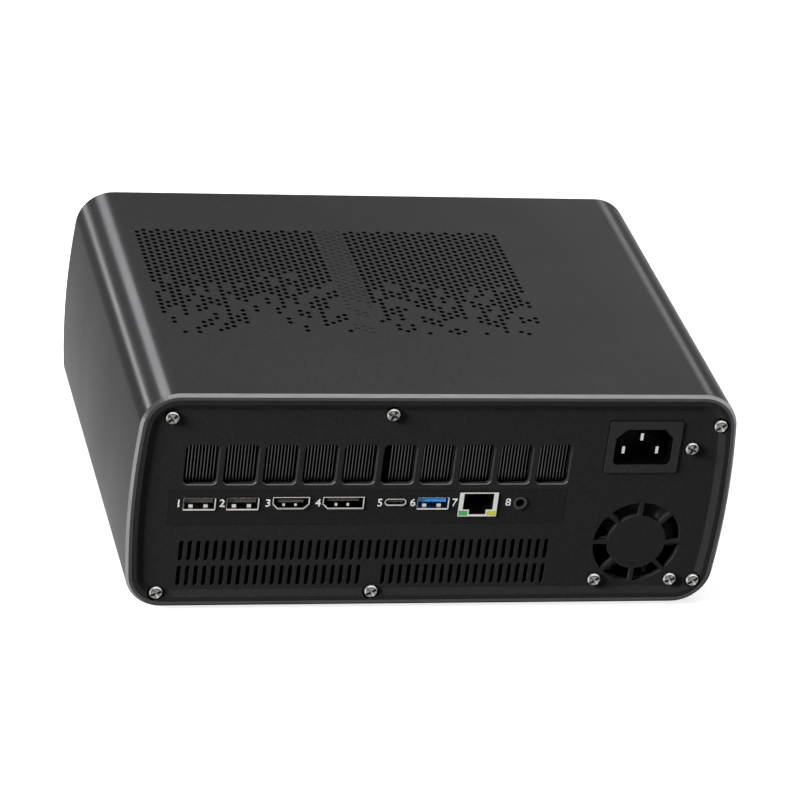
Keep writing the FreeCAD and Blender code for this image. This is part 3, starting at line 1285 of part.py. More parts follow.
NODES = {
    "case_sleeve": case_sleeve,
    "rear_panel": rear_panel,
    "io_plate": io_plate,
    "front_frame": front_frame,
    "front_cover": front_cover,
    "rear_case_screws": rear_case_screws,
    "front_frame_screws": front_frame_screws,
    "rubber_feet": rubber_feet,
    "chassis_bench": chassis_bench,
    "storage_drives": storage_drives,
    "motherboard": motherboard,
    "board_standoffs": board_standoffs,
    "inner_screws": inner_screws,
    "processor_substrate": lambda: chip(MID_X, PROCESSOR_Y, SUBSTRATE),
    "processor_die": lambda: chip(MID_X, PROCESSOR_Y, DIE, BOARD_TOP + SUBSTRATE[2]),
    "memory_chips": memory_chips,
    "power_inductors": power_inductors,
    "board_capacitors": board_capacitors,
    "coin_cell_holder": coin_cell_holder,
    "coin_cell": coin_cell,
    "ssd_cards": ssd_cards,
    "ssd_chips": ssd_chips,
    "ssd_sockets": ssd_sockets,
    "ssd_screws": ssd_screws,
    "wireless_card": wireless_card,
    "cold_plate": cold_plate,
    "cold_plate_screws": cold_plate_screws,
    "heat_pipes": heat_pipes,
    "fin_stacks": fin_stacks,
    "left_blower_housing": lambda: blower_housing(1),
    "right_blower_housing": lambda: blower_housing(-1),
    "blower_covers": blower_covers,
    "left_impeller": lambda: impeller(1),
    "right_impeller": lambda: impeller(-1),
    "type_a_shells": type_a_shells,
    "type_a_tongues": type_a_tongues,
    "fast_port_tongue": fast_port_tongue,
    "video_port_shells": video_port_shells,
    "video_port_inserts": video_port_inserts,
    "type_c_shell": type_c_shell,
    "type_c_insert": type_c_insert,
    "network_jack_shell": network_jack_shell,
    "network_jack_insert": network_jack_insert,
    "network_jack_lights": network_jack_lights,
    "audio_jacks": audio_jacks,
    "psu_housing": psu_housing,
    "psu_cover": psu_cover,
    "psu_board": psu_board,
    "psu_parts": psu_parts,
    "psu_heat_sinks": psu_heat_sinks,
    "psu_fan_frame": psu_fan_frame,
    "psu_fan_rotor": psu_fan_rotor,
    "psu_screws": psu_screws,
    "ac_inlet_body": ac_inlet_body,
    "ac_inlet_blades": ac_inlet_blades,
    "board_power_cable": board_power_cable,
    "board_power_plug": board_power_plug,
    "power_button": power_button,
    "power_switch": power_switch,
}


def save(name, made):
    """Write one sub-part, lifted onto its feet."""
    shapes = made if isinstance(made, list) else [made]
    solids = [solid for shape in shapes for solid in shape.Solids]
    whole = solids[0] if len(solids) == 1 else Part.makeCompound(solids)
    whole = whole.translated(V(0, 0, FOOT_H))
    whole.exportStep("parts/%s.step" % name)
    print("%-22s solids %3d  volume %10.1f  valid %s" % (name, len(solids), whole.Volume, whole.isValid()))


os.makedirs("parts", exist_ok=True)
for name, make in NODES.items():
    save(name, make())
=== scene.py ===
# %% [markdown]
# # A small desktop computer, seen from behind
# The object is a black aluminium sleeve with a recessed rear panel full of sockets and air openings.
# The construction model gives every part its place and size, so this lesson only adds what the eye
# wants next: the perforated roof, soft edges, modelled screws, printed numbers and the finishes.
# Loading that model first means that nothing here has to be fitted by hand.

# %% Load the construction model
import bmesh
import bpy
import json
import math
import numpy as np
from mathutils import Matrix, Vector

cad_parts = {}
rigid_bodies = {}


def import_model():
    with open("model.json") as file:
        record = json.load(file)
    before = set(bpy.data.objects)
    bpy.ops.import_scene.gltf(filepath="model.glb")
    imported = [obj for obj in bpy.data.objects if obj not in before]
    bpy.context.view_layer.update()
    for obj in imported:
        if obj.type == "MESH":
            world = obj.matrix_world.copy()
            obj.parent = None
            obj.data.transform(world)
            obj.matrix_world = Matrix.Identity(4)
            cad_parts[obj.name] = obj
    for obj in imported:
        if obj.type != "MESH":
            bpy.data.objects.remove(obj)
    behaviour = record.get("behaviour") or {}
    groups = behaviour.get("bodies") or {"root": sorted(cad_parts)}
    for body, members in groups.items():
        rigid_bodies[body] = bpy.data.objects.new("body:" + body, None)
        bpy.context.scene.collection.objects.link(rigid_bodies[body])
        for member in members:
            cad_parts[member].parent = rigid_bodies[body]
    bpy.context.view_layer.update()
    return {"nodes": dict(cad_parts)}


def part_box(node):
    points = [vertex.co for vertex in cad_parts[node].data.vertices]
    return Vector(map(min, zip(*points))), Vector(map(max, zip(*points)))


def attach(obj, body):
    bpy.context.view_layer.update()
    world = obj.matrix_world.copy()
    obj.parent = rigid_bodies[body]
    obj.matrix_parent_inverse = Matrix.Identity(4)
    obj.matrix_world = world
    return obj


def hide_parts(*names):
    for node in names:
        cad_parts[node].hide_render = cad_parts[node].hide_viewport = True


for leftover in list(bpy.data.objects):  # a new file holds a cube, a lamp and a camera
    bpy.data.objects.remove(leftover)
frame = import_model()
nodes = frame["nodes"]

# %% [markdown]
# ## Sizes
# Blender works in metres here, while a maker thinks in millimetres, so one small function turns the
# one into the other. The few sizes below belong to the sleeve: its corner radius, the slight bulge of
# its side walls and its wall. All other places are read from the parts themselves.

# %% Sizes in millimetres
MM = 0.001


def mm(*values):
    """Millimetres to metres: one number, or a vector of three."""
    return values[0] * MM if len(values) == 1 else Vector(values) * MM


FOOT = mm(2.0)
WIDTH, HEIGHT = mm(246.0), mm(96.0)
CORNER, BULGE, WALL = mm(15.5), mm(360.0), mm(2.5)
case_low, case_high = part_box("case_sleeve")
print("sleeve:", [round(1000 * v, 2) for v in (*case_low, *case_high)])

# %% [markdown]
# ## Camera
# The camera stands about 1.7 m away, behind the computer and somewhat above it, with a long lens.
# A long lens from far off keeps verticals and parallels calm, as in a catalogue picture. Its place and
# its axes are written as numbers, and a matrix built from the axes turns the camera in one step.

# %% Camera
def put(name, data):
    """A new object with this mesh, camera or lamp, at the origin."""
    made = bpy.data.objects.new(name, data)
    bpy.context.scene.collection.objects.link(made)
    return made


camera_data = bpy.data.cameras.new("catalogue_camera")
camera_data.lens, camera_data.sensor_width = 183.6, 36.0
camera_data.clip_start, camera_data.clip_end = 0.1, 100.0
camera = put("catalogue_camera", camera_data)
right = Vector((-0.97178451, 0.20601211, 0.11486463))
up = Vector((0.0024329, -0.47820128, 0.8782469))
back = Vector((0.23585791, 0.85374618, 0.46420739))
turn = Matrix((right, up, back)).transposed().to_4x4()
camera.matrix_world = Matrix.Translation(mm(396.2, 1455.1, 837.8)) @ turn
bpy.context.scene.camera = camera
bpy.context.scene.view_settings.view_transform = "Standard"
print("camera distance in m:", round(camera.location.length, 3))

# %% [markdown]
# ## Colours and nodes
# Colours are written as the hex values that a screen shows. Shaders calculate in linear light, so one
# function converts them. A second function adds any node to any tree: it sets the node's own options,
# then fills each input with a number, or links it when the value is another node's output.

# %% Two helpers for every material
def rgb(hex_value):
    """A screen colour such as 2A2A2C as linear red, green, blue and alpha."""
    parts = [int(hex_value[i:i + 2], 16) / 255 for i in (0, 2, 4)]
    return tuple(p / 12.92 if p <= 0.04045 else ((p + 0.055) / 1.055) ** 2.4 for p in parts) + (1.0,)


def add(tree, kind, inputs=None, **options):
    """Adds a node, sets its options, then its inputs by name or number; an output as a value is linked."""
    made = tree.nodes.new(kind)
    for name, value in options.items():
        setattr(made, name, value)
    for name, value in (inputs or {}).items():
        if isinstance(value, bpy.types.NodeSocket):
            tree.links.new(value, made.inputs[name])
        else:
            made.inputs[name].default_value = value
    return made


def new_material(name):
    """An empty material and its node tree, ready for add()."""
    made = bpy.data.materials.new(name)
    made.use_nodes = True
    made.node_tree.nodes.clear()
    return made, made.node_tree


print("a mid grey in linear light:", [round(v, 3) for v in rgb("808080")[:3]])

# %% [markdown]
# ## The table and the air around it
# A catalogue picture shows nothing but white around the product and a soft shadow under it. The floor
# is a large pale sheet. For rays that come from the camera it also glows a little, so that its lit part is
# pure white while the shadow stays; rays that mirror off metal see it plain white; for all other rays it is plain matt
# paint, so the lamps alone decide how brightly the computer is lit. The world does the same.

# %% Floor and world
MIRRORED = ("Is Glossy Ray", "Is Transmission Ray")
FLOOR_REACH = 8.0  # in metres, from the middle to each edge
AIR_LIGHT = 0.12  # how much the air adds to the lamps


def is_ray(tree, *kinds):
    """1 where the ray is of one of these kinds, such as Is Camera Ray, else 0."""
    path = add(tree, "ShaderNodeLightPath")
    value = path.outputs[kinds[0]]
    for kind in kinds[1:]:
        value = add(tree, "ShaderNodeMath", {0: value, 1: path.outputs[kind]}, operation="MAXIMUM").outputs[0]
    return value


def mix(tree, factor, first, second):
    """The first shader where the factor is 0, the second where it is 1."""
    return add(tree, "ShaderNodeMixShader", {0: factor, 1: first.outputs[0], 2: second.outputs[0]})


def flat_sheet(name, corners, material):
    """A sheet with four corners."""
    mesh = bpy.data.meshes.new(name)
    mesh.from_pydata(corners, [], [(0, 1, 2, 3)])
    mesh.materials.append(material)
    return put(name, mesh)


floor_paint, tree = new_material("matt_white_floor_paint")
matt = add(tree, "ShaderNodeBsdfDiffuse", {"Color": rgb("606060")})
white = add(tree, "ShaderNodeEmission", {"Color": rgb("FFFFFF"), "Strength": 1.0})
paler = add(tree, "ShaderNodeBsdfDiffuse", {"Color": rgb("A0A0A0")})
glow = add(tree, "ShaderNodeEmission", {"Color": rgb("FFFFFF"), "Strength": 0.8})
shaded = add(tree, "ShaderNodeAddShader", {0: paler.outputs[0], 1: glow.outputs[0]})
mirrored = mix(tree, is_ray(tree, *MIRRORED), matt, white)
mixed = mix(tree, is_ray(tree, "Is Camera Ray"), mirrored, shaded)
add(tree, "ShaderNodeOutputMaterial", {"Surface": mixed.outputs[0]})
floor_corners = [(x * FLOOR_REACH, y * FLOOR_REACH, 0) for x, y in ((-1, -1), (1, -1), (1, 1), (-1, 1))]
floor = flat_sheet("floor", floor_corners, floor_paint)

world = bpy.data.worlds.new("studio_air")
bpy.context.scene.world = world
world.use_nodes = True
tree = world.node_tree
tree.nodes.clear()
lit = add(tree, "ShaderNodeBackground", {"Color": rgb("FFFFFF"), "Strength": AIR_LIGHT})
seen = add(tree, "ShaderNodeBackground", {"Color": rgb("FFFFFF"), "Strength": 1.0})
both = mix(tree, is_ray(tree, "Is Camera Ray", *MIRRORED), lit, seen)
add(tree, "ShaderNodeOutputWorld", {"Surface": both.outputs[0]})
print("floor half width in m:", FLOOR_REACH)

# %% [markdown]
# ## Lamps
# The main lamp stands far out to the side and only grazes the rear panel, so every step and bevel of
# the panel shows as a light or a dark line. It is kept out of mirror images, where it would burn out the
# bevels. A lamp overhead keeps the shadow on the floor soft. Two long strips stand beyond the front,
# parallel to the sleeve: a rounded edge mirrors a strip as a bright line, and two strips draw two lines.

# %% Lamps
def soft_lamp(name, at, target, size, watts):
    """An area lamp; its size is (width, length), and the length runs along Y as far as its aim allows."""
    data = bpy.data.lights.new(name, "AREA")
    data.shape, data.size, data.size_y, data.energy = "RECTANGLE", size[0], size[1], watts
    lamp = put(name, data)
    aim = (Vector(target) - Vector(at)).normalized()
    side = (Vector((0, 1, 0)) - aim * aim.y).normalized()
    lamp.matrix_world = Matrix.Translation(at) @ Matrix((side.cross(-aim), side, -aim)).transposed().to_4x4()
    return lamp


key = soft_lamp("side_key", (1.93, 0.6, 1.08), (0, 0, 0.05), (1.0, 1.0), 150)
key.visible_glossy = False
soft_lamp("overhead", (0.15, -0.15, 2.2), (0, -0.15, 0.05), (2.4, 0.5), 52)
soft_lamp("low_strip", (2.1, -4.6, -0.08), (0.1, -4.6, 0.09), (0.95, 3.8), 135)
soft_lamp("high_strip", (1.0, -4.6, 1.92), (0.1, -4.6, 0.09), (0.98, 3.8), 72)
soft_lamp("far_side_strip", (-0.95, -2.0, 0.72), (-0.1, -0.1, 0.09), (0.35, 1.0), 5.5)

# %% [markdown]
# ## A grey card beside the camera
# The milled edge round the rear would mirror white air all the way round. In a studio a card, airbrushed
# from grey to white, is held where the round corners mirror it, so that the line of light dies away there
# and comes back on the straight parts. Only mirror rays see this card; it throws no shadow.

# %% The grey card, which fades to white at its edge
CARD_REACH = 1.3  # in metres, from the middle of the card to its edge
GREY_REACH, GREY = 0.2, 0.3  # how far the plain grey goes, and its light against white
card_at = Vector((1.03, 0.71, 0.7))


def place_of(tree):
    """The point on the surface, in metres from the origin."""
    return add(tree, "ShaderNodeTexCoord").outputs["Object"]


card_paper, tree = new_material("airbrushed_grey_card")
from_middle = add(tree, "ShaderNodeVectorMath", {0: place_of(tree), 1: card_at}, operation="DISTANCE")
fade = add(tree, "ShaderNodeMapRange", {0: from_middle.outputs["Value"], 1: GREY_REACH, 2: CARD_REACH, 3: GREY, 4: 1.0},
           interpolation_type="SMOOTHSTEP").outputs[0]
card_glow = add(tree, "ShaderNodeEmission", {"Color": rgb("FFFFFF"), "Strength": fade})
add(tree, "ShaderNodeOutputMaterial", {"Surface": card_glow.outputs[0]})
along, above = Vector((0.53, -0.85, 0)).normalized() * CARD_REACH, Vector((0, 0, 1))
card_corners = [card_at + a * along + z * above for a, z in ((-1, -0.68), (1, -0.68), (1, 1.3), (-1, 1.3))]
card = flat_sheet("dark_card", card_corners, card_paper)
card.visible_camera = card.visible_diffuse = card.visible_shadow = False
print("card centre in m:", tuple(round(v, 2) for v in card_at))

# %% [markdown]
# ## Black anodised aluminium
# The sleeve is extruded aluminium, blasted with fine glass beads and anodised black. Beads leave a
# satin skin: reflections spread out, yet stay the colour of dark metal. Real blast pits are about
# 0.1 mm wide, too fine to draw at this distance, so the grain below is 0.5 mm wide and very shallow.
# A slow change in roughness over 60 mm keeps large walls from looking like plastic.

# %% Material: bead-blasted anodised aluminium
def grain(tree, size_mm, stretch=(1, 1, 1), detail=2.0):
    """Noise whose blobs are about size_mm wide, drawn out where stretch is below 1."""
    spread = add(tree, "ShaderNodeMapping", {"Vector": place_of(tree), "Scale": stretch})
    return add(tree, "ShaderNodeTexNoise", {
        "Vector": spread.outputs[0], "Scale": 1000.0 / size_mm, "Detail": detail}).outputs[0]


def between(tree, factor, low, high):
    """A value that goes from low to high as the factor goes from 0.3 to 0.7, the usual range of noise."""
    return add(tree, "ShaderNodeMapRange", {0: factor, 1: 0.3, 2: 0.7, 3: low, 4: high}).outputs[0]


def blend(tree, factor, first, second):
    """The first colour where the factor is 0, the second where it is 1."""
    return add(tree, "ShaderNodeMix", {0: factor, 6: first, 7: second}, data_type="RGBA").outputs[2]


def tint(tree, factor, dark, light):
    """A colour between two hex values."""
    return blend(tree, between(tree, factor, 0.0, 1.0), rgb(dark), rgb(light))


def finish_material(tree, inputs, height, depth_mm):
    """Joins a Principled shader, with a bump of depth_mm, to the output."""
    bump = add(tree, "ShaderNodeBump", {"Height": height, "Distance": depth_mm * MM, "Strength": 1.0})
    shader = add(tree, "ShaderNodeBsdfPrincipled", {**inputs, "Normal": bump.outputs[0]})
    add(tree, "ShaderNodeOutputMaterial", {"Surface": shader.outputs[0]})


def finish(name, shades, rough, bump, **constants):
    """A material from two shades, two roughnesses and a bump's depth in mm, each followed by its grain."""
    made, tree = new_material(name)
    finish_material(tree, {
        "Base Color": tint(tree, grain(tree, *shades[2:]), *shades[:2]),
        "Roughness": between(tree, grain(tree, *rough[2:]), *rough[:2]),
        **{label.replace("_", " "): value for label, value in constants.items()},
    }, grain(tree, *bump[1:]), bump[0])
    return made


anodised = finish("bead_blasted_anodised_aluminium", ("424243", "484849", 1.2), (0.21, 0.26, 60.0), (0.004, 0.5),
                  Metallic=1.0, Specular_Tint=rgb("B2B2B2"))
print("made", anodised.name)

# %% [markdown]
# ## Milled edges and drilled walls
# The end edges are milled after blasting and stay smooth. Their much lighter shade is a painted highlight:
# it draws a pale line round the rear. The drilled walls are cut rough; their near-black shade is painted
# shade, which makes every hole look deep. Both are metal too, so only shades and roughness differ.

# %% Material: milled edge and drilled wall
# Painted highlight: the milled edge's light shade stands in for the bright line that the edge mirrors.
milled_edge_painted_highlight = finish("milled_anodised_edge", ("949495", "A0A0A1", 0.8, (0.1, 1, 0.1)), (0.12, 0.16, 5.0),
                     (0.002, 0.5), Metallic=1.0, Specular_Tint=rgb("282828"))
# Painted shade: the near-black walls stand in for the shade inside each hole.
drilled_wall_painted_shade = finish("drilled_anodised_wall", ("0A0A0A", "121212", 0.6), (0.5, 0.6, 2.0), (0.01, 0.4),
                      Metallic=1.0, Specular_Tint=rgb("404040"))
print("made", milled_edge_painted_highlight.name, drilled_wall_painted_shade.name)

# %% [markdown]
# ## Painted steel
# The rear panel is steel sheet with a powder coat, and the plate round the sockets is sprayed and
# screen-printed. Powder flows into a fine orange peel about 0.8 mm wide and gives soft, dull highlights. A
# lighter shade on the punched edges is a painted highlight. Spray paint is flatter. One noise for each is enough.

# %% Material: painted steel
powder = finish("powder_coated_steel", ("232324", "292929", 1.0), (0.45, 0.55, 3.0), (0.02, 0.8),
                Specular_IOR_Level=0.015)
# Painted highlight: a lighter coat for the window edges that face up.
punched_edge_painted_highlight = finish("powder_coat_thinned_on_punched_edge", ("4A4A4C", "58585A", 0.8), (0.3, 0.38, 2.0), (0.004, 0.5))
plate_paint = finish("screen_printed_painted_steel", ("1F1F20", "252526", 1.0), (0.45, 0.55, 5.0), (0.012, 0.6),
                     Specular_IOR_Level=0.015)
white_ink = finish("screen_printed_white_ink", ("E6E6E4", "F2F2F0", 0.5), (0.45, 0.6, 1.0), (0.004, 0.4))
print("made", powder.name, punched_edge_painted_highlight.name, plate_paint.name, white_ink.name)

# %% [markdown]
# ## Bare and plated metals
# Each metal part keeps the marks of its trade. Noise that is drawn out along one axis turns into streaks
# that run the way the sheet was rolled, the tube was drawn or the lid was brushed.

# %% Material: bare and plated metals
# Plated sheet is nearly mirror-bright, with faint streaks: the sleeves of the sockets draw sharp frames.
ALONG_Y, ALONG_X, UPRIGHT, BRUSHED = (1, 0.1, 1), (0.1, 1, 1), (1, 1, 0.05), (0.03, 1, 1)
nickel = finish("nickel_plated_steel", ("C4C2BD", "D6D4CF", 2.0), (0.2, 0.34, 0.4, ALONG_Y), (0.004, 0.4, ALONG_Y),
                Metallic=1.0)
# Zinc grows in pale crystals of some millimetres, so the folded sheets look cloudy.
zinc = finish("zinc_plated_sheet_steel", ("9A9CA0", "B4B6B8", 6.0, (1, 1, 1), 4.0), (0.32, 0.5, 8.0), (0.01, 1.0),
              Metallic=1.0)
# Aluminium foil in a dark grey: the fins show as fine grey lines in the dark windows.
fin_metal = finish("blackened_aluminium_foil", ("4E4F51", "5A5B5D", 1.5, UPRIGHT), (0.3, 0.45, 0.5, UPRIGHT),
                   (0.006, 0.5, UPRIGHT), Metallic=1.0)
# Barrel-plated screws are greyer and duller than sheet.
screw_steel = finish("nickel_plated_screw_steel", ("868684", "969694", 1.0), (0.26, 0.38, 0.6), (0.006, 0.4),
                     Metallic=1.0, Specular_Tint=rgb("A0A0A0"))
# Drawn tube darkens unevenly over centimetres, which gives copper its warm, used look.
copper = finish("drawn_copper_tube", ("B5694A", "C98060", 10.0), (0.25, 0.4, 0.6, ALONG_X), (0.006, 0.6, ALONG_X),
                Metallic=1.0)
# Brushed lids have hair-fine lines from end to end.
drive_metal = finish("brushed_drive_aluminium", ("8D8F92", "A4A6A8", 0.4, BRUSHED), (0.3, 0.42, 0.4, BRUSHED),
                     (0.006, 0.4, BRUSHED), Metallic=1.0)
print("made", nickel.name, zinc.name, fin_metal.name, screw_steel.name, copper.name, drive_metal.name)

# %% [markdown]
# ## Moulded plastics and rubber
# Spark-eroded moulds leave a fine matt grain on nylon; polyester contacts come from polished moulds and
# shine a little. A small function sets what all mouldings share, so each line only says what is special.
# The mains socket is dark grey on its face; its black inside, where no light reaches, is painted shade.

# %% Material: moulded plastics and rubber
def moulded(name, dark, light, rough, grain_mm=0.5, depth_mm=0.012, shine=0.5):
    """A moulded plastic between two shades, with the mould's grain; shine is its specular level."""
    return finish(name, (dark, light, 1.5), (rough - 0.05, rough + 0.05, 4.0), (depth_mm, grain_mm),
                  Specular_IOR_Level=shine)


black_plastic = moulded("moulded_black_nylon", "070708", "0B0B0C", 0.5, shine=0.05)
grey_plastic = moulded("moulded_grey_nylon", "4A4A4C", "565658", 0.45)
tongue_plastic = moulded("moulded_grey_polyester", "4C4A46", "585550", 0.45, shine=0.2)
blue_plastic = moulded("moulded_blue_polyester", "2E9CFF", "48ACFF", 0.35, 0.8, 0.004)
jack_plastic = moulded("moulded_glossy_jack_nylon", "111112", "18181A", 0.3)
rubber = moulded("moulded_silicone_rubber", "1B1B1B", "262626", 0.7)
chip_resin = moulded("moulded_epoxy_resin", "141416", "1D1D20", 0.55, 0.3)
silicon = moulded("ground_silicon", "3A3D45", "4A4E58", 0.25, 0.3, 0.003)

# Painted shade: the socket turns black from here inwards, where no light reaches.
FACE_STARTS, FACE_ENDS = mm(0.6), mm(0.2)  # how far in from its front the socket's face turns black
inlet_plastic_painted_shade, tree = new_material("moulded_inlet_nylon")
inlet_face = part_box("ac_inlet_body")[1].y
depth_in = add(tree, "ShaderNodeSeparateXYZ", {0: place_of(tree)}).outputs["Y"]
outside_painted_shade = add(tree, "ShaderNodeMapRange", {
    0: depth_in, 1: inlet_face - FACE_STARTS, 2: inlet_face - FACE_ENDS, 3: 0.0, 4: 1.0}).outputs[0]
finish_material(tree, {
    "Base Color": blend(tree, outside_painted_shade, rgb("040404"), tint(tree, grain(tree, 1.5), "232324", "2A2A2B")),
    "Specular IOR Level": 0.1,
    "Roughness": between(tree, grain(tree, 4.0), 0.45, 0.55),
}, grain(tree, 0.5), 0.012)
print("made", black_plastic.name, "and its relatives, and", inlet_plastic_painted_shade.name)

# %% [markdown]
# ## Circuit board and status lamps
# A board is glass cloth in epoxy under green solder mask, so a fine weave shows through: a brick pattern
# with thin joints. The network socket has two lamps in one clear moulding; their dye is yellow on one
# side of its middle and green on the other.

# %% Material: board and lamps
board_mask, tree = new_material("solder_mask_on_glass_epoxy")
weave = add(tree, "ShaderNodeTexBrick", {
    "Vector": place_of(tree), "Color1": rgb("0F2A1C"), "Color2": rgb("133222"), "Mortar": rgb("0B2016"),
    "Scale": 400.0, "Mortar Size": 0.02})
finish_material(tree, {
    "Base Color": weave.outputs[0], "Roughness": between(tree, grain(tree, 6.0), 0.3, 0.4)}, grain(tree, 1.0), 0.01)

lamp_plastic, tree = new_material("dyed_clear_lamp_plastic")
across = add(tree, "ShaderNodeSeparateXYZ", {0: place_of(tree)}).outputs["X"]
jack_low, jack_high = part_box("network_jack_lights")
second = add(tree, "ShaderNodeMath", {0: across, 1: (jack_low.x + jack_high.x) / 2}, operation="GREATER_THAN").outputs[0]
finish_material(tree, {
    "Base Color": blend(tree, second, rgb("C9C31E"), rgb("3F9E4D")),
    "Roughness": between(tree, grain(tree, 2.0), 0.2, 0.3)}, grain(tree, 1.0), 0.004)
print("made", len(bpy.data.materials), "materials so far")

# %% [markdown]
# ## Finishes for the parts that keep their shape
# Most parts already have their right shape in the construction model. Each of them names a finish in
# the record, so a table from those names to the materials above dresses all of them in one loop. A few
# mouldings then get a shade of their own.

# %% Dress the parts
FINISHES = {
    "anodised_black": anodised, "panel_black": powder, "plate_black": plate_paint, "zinc_steel": zinc,
    "nickel": nickel, "copper": copper, "fin_aluminium": fin_metal, "board_green": board_mask,
    "silicon": silicon, "chip_black": chip_resin, "black_plastic": black_plastic,
    "grey_plastic": grey_plastic, "blue_plastic": blue_plastic, "lamp_plastic": lamp_plastic,
    "rubber": rubber, "drive_metal": drive_metal,
}
slot_of = {}
for name, part in nodes.items():
    slot_of[name] = part.material_slots[0].material.name.split(".")[0]
    part.material_slots[0].material = FINISHES[slot_of[name]]
OWN_FINISHES = {
    "type_a_tongues": tongue_plastic, "video_port_inserts": tongue_plastic, "type_c_insert": tongue_plastic,
    "audio_jacks": jack_plastic, "ac_inlet_body": inlet_plastic_painted_shade,
}
for name, material in OWN_FINISHES.items():
    nodes[name].material_slots[0].material = material
print("dressed", len(slot_of), "parts in", len(set(slot_of.values())), "finishes")

# %% [markdown]
# ## Tools for Geometry Nodes
# Rows of holes and screws repeat one shape many times, which is what Geometry Nodes are for. The helpers
# here start a tree with named inputs, end it, run it on a piece and keep the result as a plain mesh. The
# inputs are set by their identifiers before the tree runs for the first time. A copy of a part's own mesh
# is welded first, because a Boolean wants a closed shape.

# %% Helpers for Geometry Nodes
SAME_PLACE = mm(0.001)  # corners closer than this are one corner


def new_tree(name, inputs):
    """A geometry tree whose inputs are (name, socket kind, value); returns it and its input node."""
    tree = bpy.data.node_groups.new(name, "GeometryNodeTree")
    tree.interface.new_socket("Geometry", in_out="INPUT", socket_type="NodeSocketGeometry")
    for label, kind, value in inputs:
        made = tree.interface.new_socket(label, in_out="INPUT", socket_type="NodeSocket" + kind)
        if value is not None:
            made.default_value = value
    tree.interface.new_socket("Geometry", in_out="OUTPUT", socket_type="NodeSocketGeometry")
    return tree, add(tree, "NodeGroupInput")


def end_tree(tree, geometry, material):
    """Realises the copies, paints them and hands them to the output."""
    real = add(tree, "GeometryNodeRealizeInstances", {0: geometry})
    painted = add(tree, "GeometryNodeSetMaterial", {"Geometry": real.outputs[0], "Material": material})
    add(tree, "NodeGroupOutput", {"Geometry": painted.outputs[0]})


def settled_mesh(made):
    """The object's mesh as its modifiers leave it."""
    bpy.context.view_layer.update()
    return bpy.data.meshes.new_from_object(made.evaluated_get(bpy.context.evaluated_depsgraph_get()))


def run_tree(piece, tree, values):
    """Runs the tree on the piece with these inputs and keeps the result as its plain mesh."""
    modifier = piece.modifiers.new(tree.name, "NODES")
    modifier.node_group = tree
    for item in tree.interface.items_tree:
        if item.item_type == "SOCKET" and item.in_out == "INPUT" and item.name in values:
            modifier[item.identifier] = values[item.name]
    result = settled_mesh(piece)
    piece.modifiers.remove(modifier)
    piece.data = result
    result.name = piece.name
    print(piece.name, "has", sum(len(p.vertices) - 2 for p in result.polygons), "triangles")


def welded_copy(node):
    """A closed copy of a part's mesh: its loose triangles are merged at their corners."""
    copy = nodes[node].data.copy()
    made = bmesh.new()
    made.from_mesh(copy)
    bmesh.ops.remove_doubles(made, verts=made.verts, dist=SAME_PLACE)
    bmesh.ops.dissolve_degenerate(made, edges=made.edges, dist=SAME_PLACE / 10)
    made.to_mesh(copy)
    made.free()
    for name in ("custom_normal", "sharp_face", "sharp_edge"):
        if name in copy.attributes:
            copy.attributes.remove(copy.attributes[name])
    return copy


print("helpers ready")

# %% [markdown]
# ## Reading places from the parts
# A part such as the case screws is one mesh with several separate bodies in it. Each body's box tells
# where a screw or a blade is, so a modelled one can take its place without any number being typed
# twice. The second helper finds the closed outlines in one plane of a part, such as the rims of its
# openings, by walking along the sharp edges there.

# %% Read places and outlines from a part
def solids_of(node):
    """The lowest and highest corner of each separate body in a mesh, from +X to -X, and downwards where X is equal."""
    made = bmesh.new()
    made.from_mesh(welded_copy(node))
    left, boxes = set(made.verts), []
    while left:
        group, ahead = [], [left.pop()]
        while ahead:
            vertex = ahead.pop()
            group.append(vertex.co.copy())
            near = {edge.other_vert(vertex) for edge in vertex.link_edges} & left
            left -= near
            ahead.extend(near)
        boxes.append((Vector(map(min, zip(*group))), Vector(map(max, zip(*group)))))
    made.free()
    return sorted(boxes, key=lambda box: (-round(box[0].x, 5), -box[0].z))


def outlines_of(node, plane_y, facing=1):
    """The closed outlines, as lists of (x, z), where a part's face at this Y turns into its walls."""
    made = bmesh.new()
    made.from_mesh(welded_copy(node))
    made.normal_update()
    rim = {}
    for edge in made.edges:
        if len(edge.link_faces) != 2 or max(abs(v.co.y - plane_y) for v in edge.verts) > mm(0.01):
            continue
        wall, face = sorted(beside.normal.y * facing for beside in edge.link_faces)
        if face > 0.99 and wall < 0.5:
            for a, b in (edge.verts, reversed(edge.verts)):
                rim.setdefault(a, []).append(b)
    outlines = []
    while rim:
        start = here = next(iter(rim))
        path = []
        while here in rim:
            path.append((here.co.x, here.co.z))
            ways = rim.pop(here)
            here = next((v for v in ways if v in rim), start)
        outlines.append(path)
    made.free()
    return outlines


def span(outline):
    """Left, right, bottom and top of an outline."""
    xs, zs = zip(*outline)
    return min(xs), max(xs), min(zs), max(zs)


panel_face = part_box("io_plate")[1].y
case_screws = solids_of("rear_case_screws")
rib_x = sum(corner.x for corner in case_screws[2]) / 2  # the third screw sits in the middle rib
print("case screws:", len(case_screws), "panel face at", round(1000 * panel_face, 2), "mm")

# %% [markdown]
# ## The perforated roof
# The roof is drilled with about 1100 round holes over the two blowers. They stand in staggered columns;
# towards the rear more and more pairs of them are left out, which turns a plain grille into a pattern. A
# drill is one cylinder, copied to the points of two grids that are offset by half a step, and one Boolean
# cuts them all: quicker and cleaner than modelling each hole. The sizes are inputs of the tree.

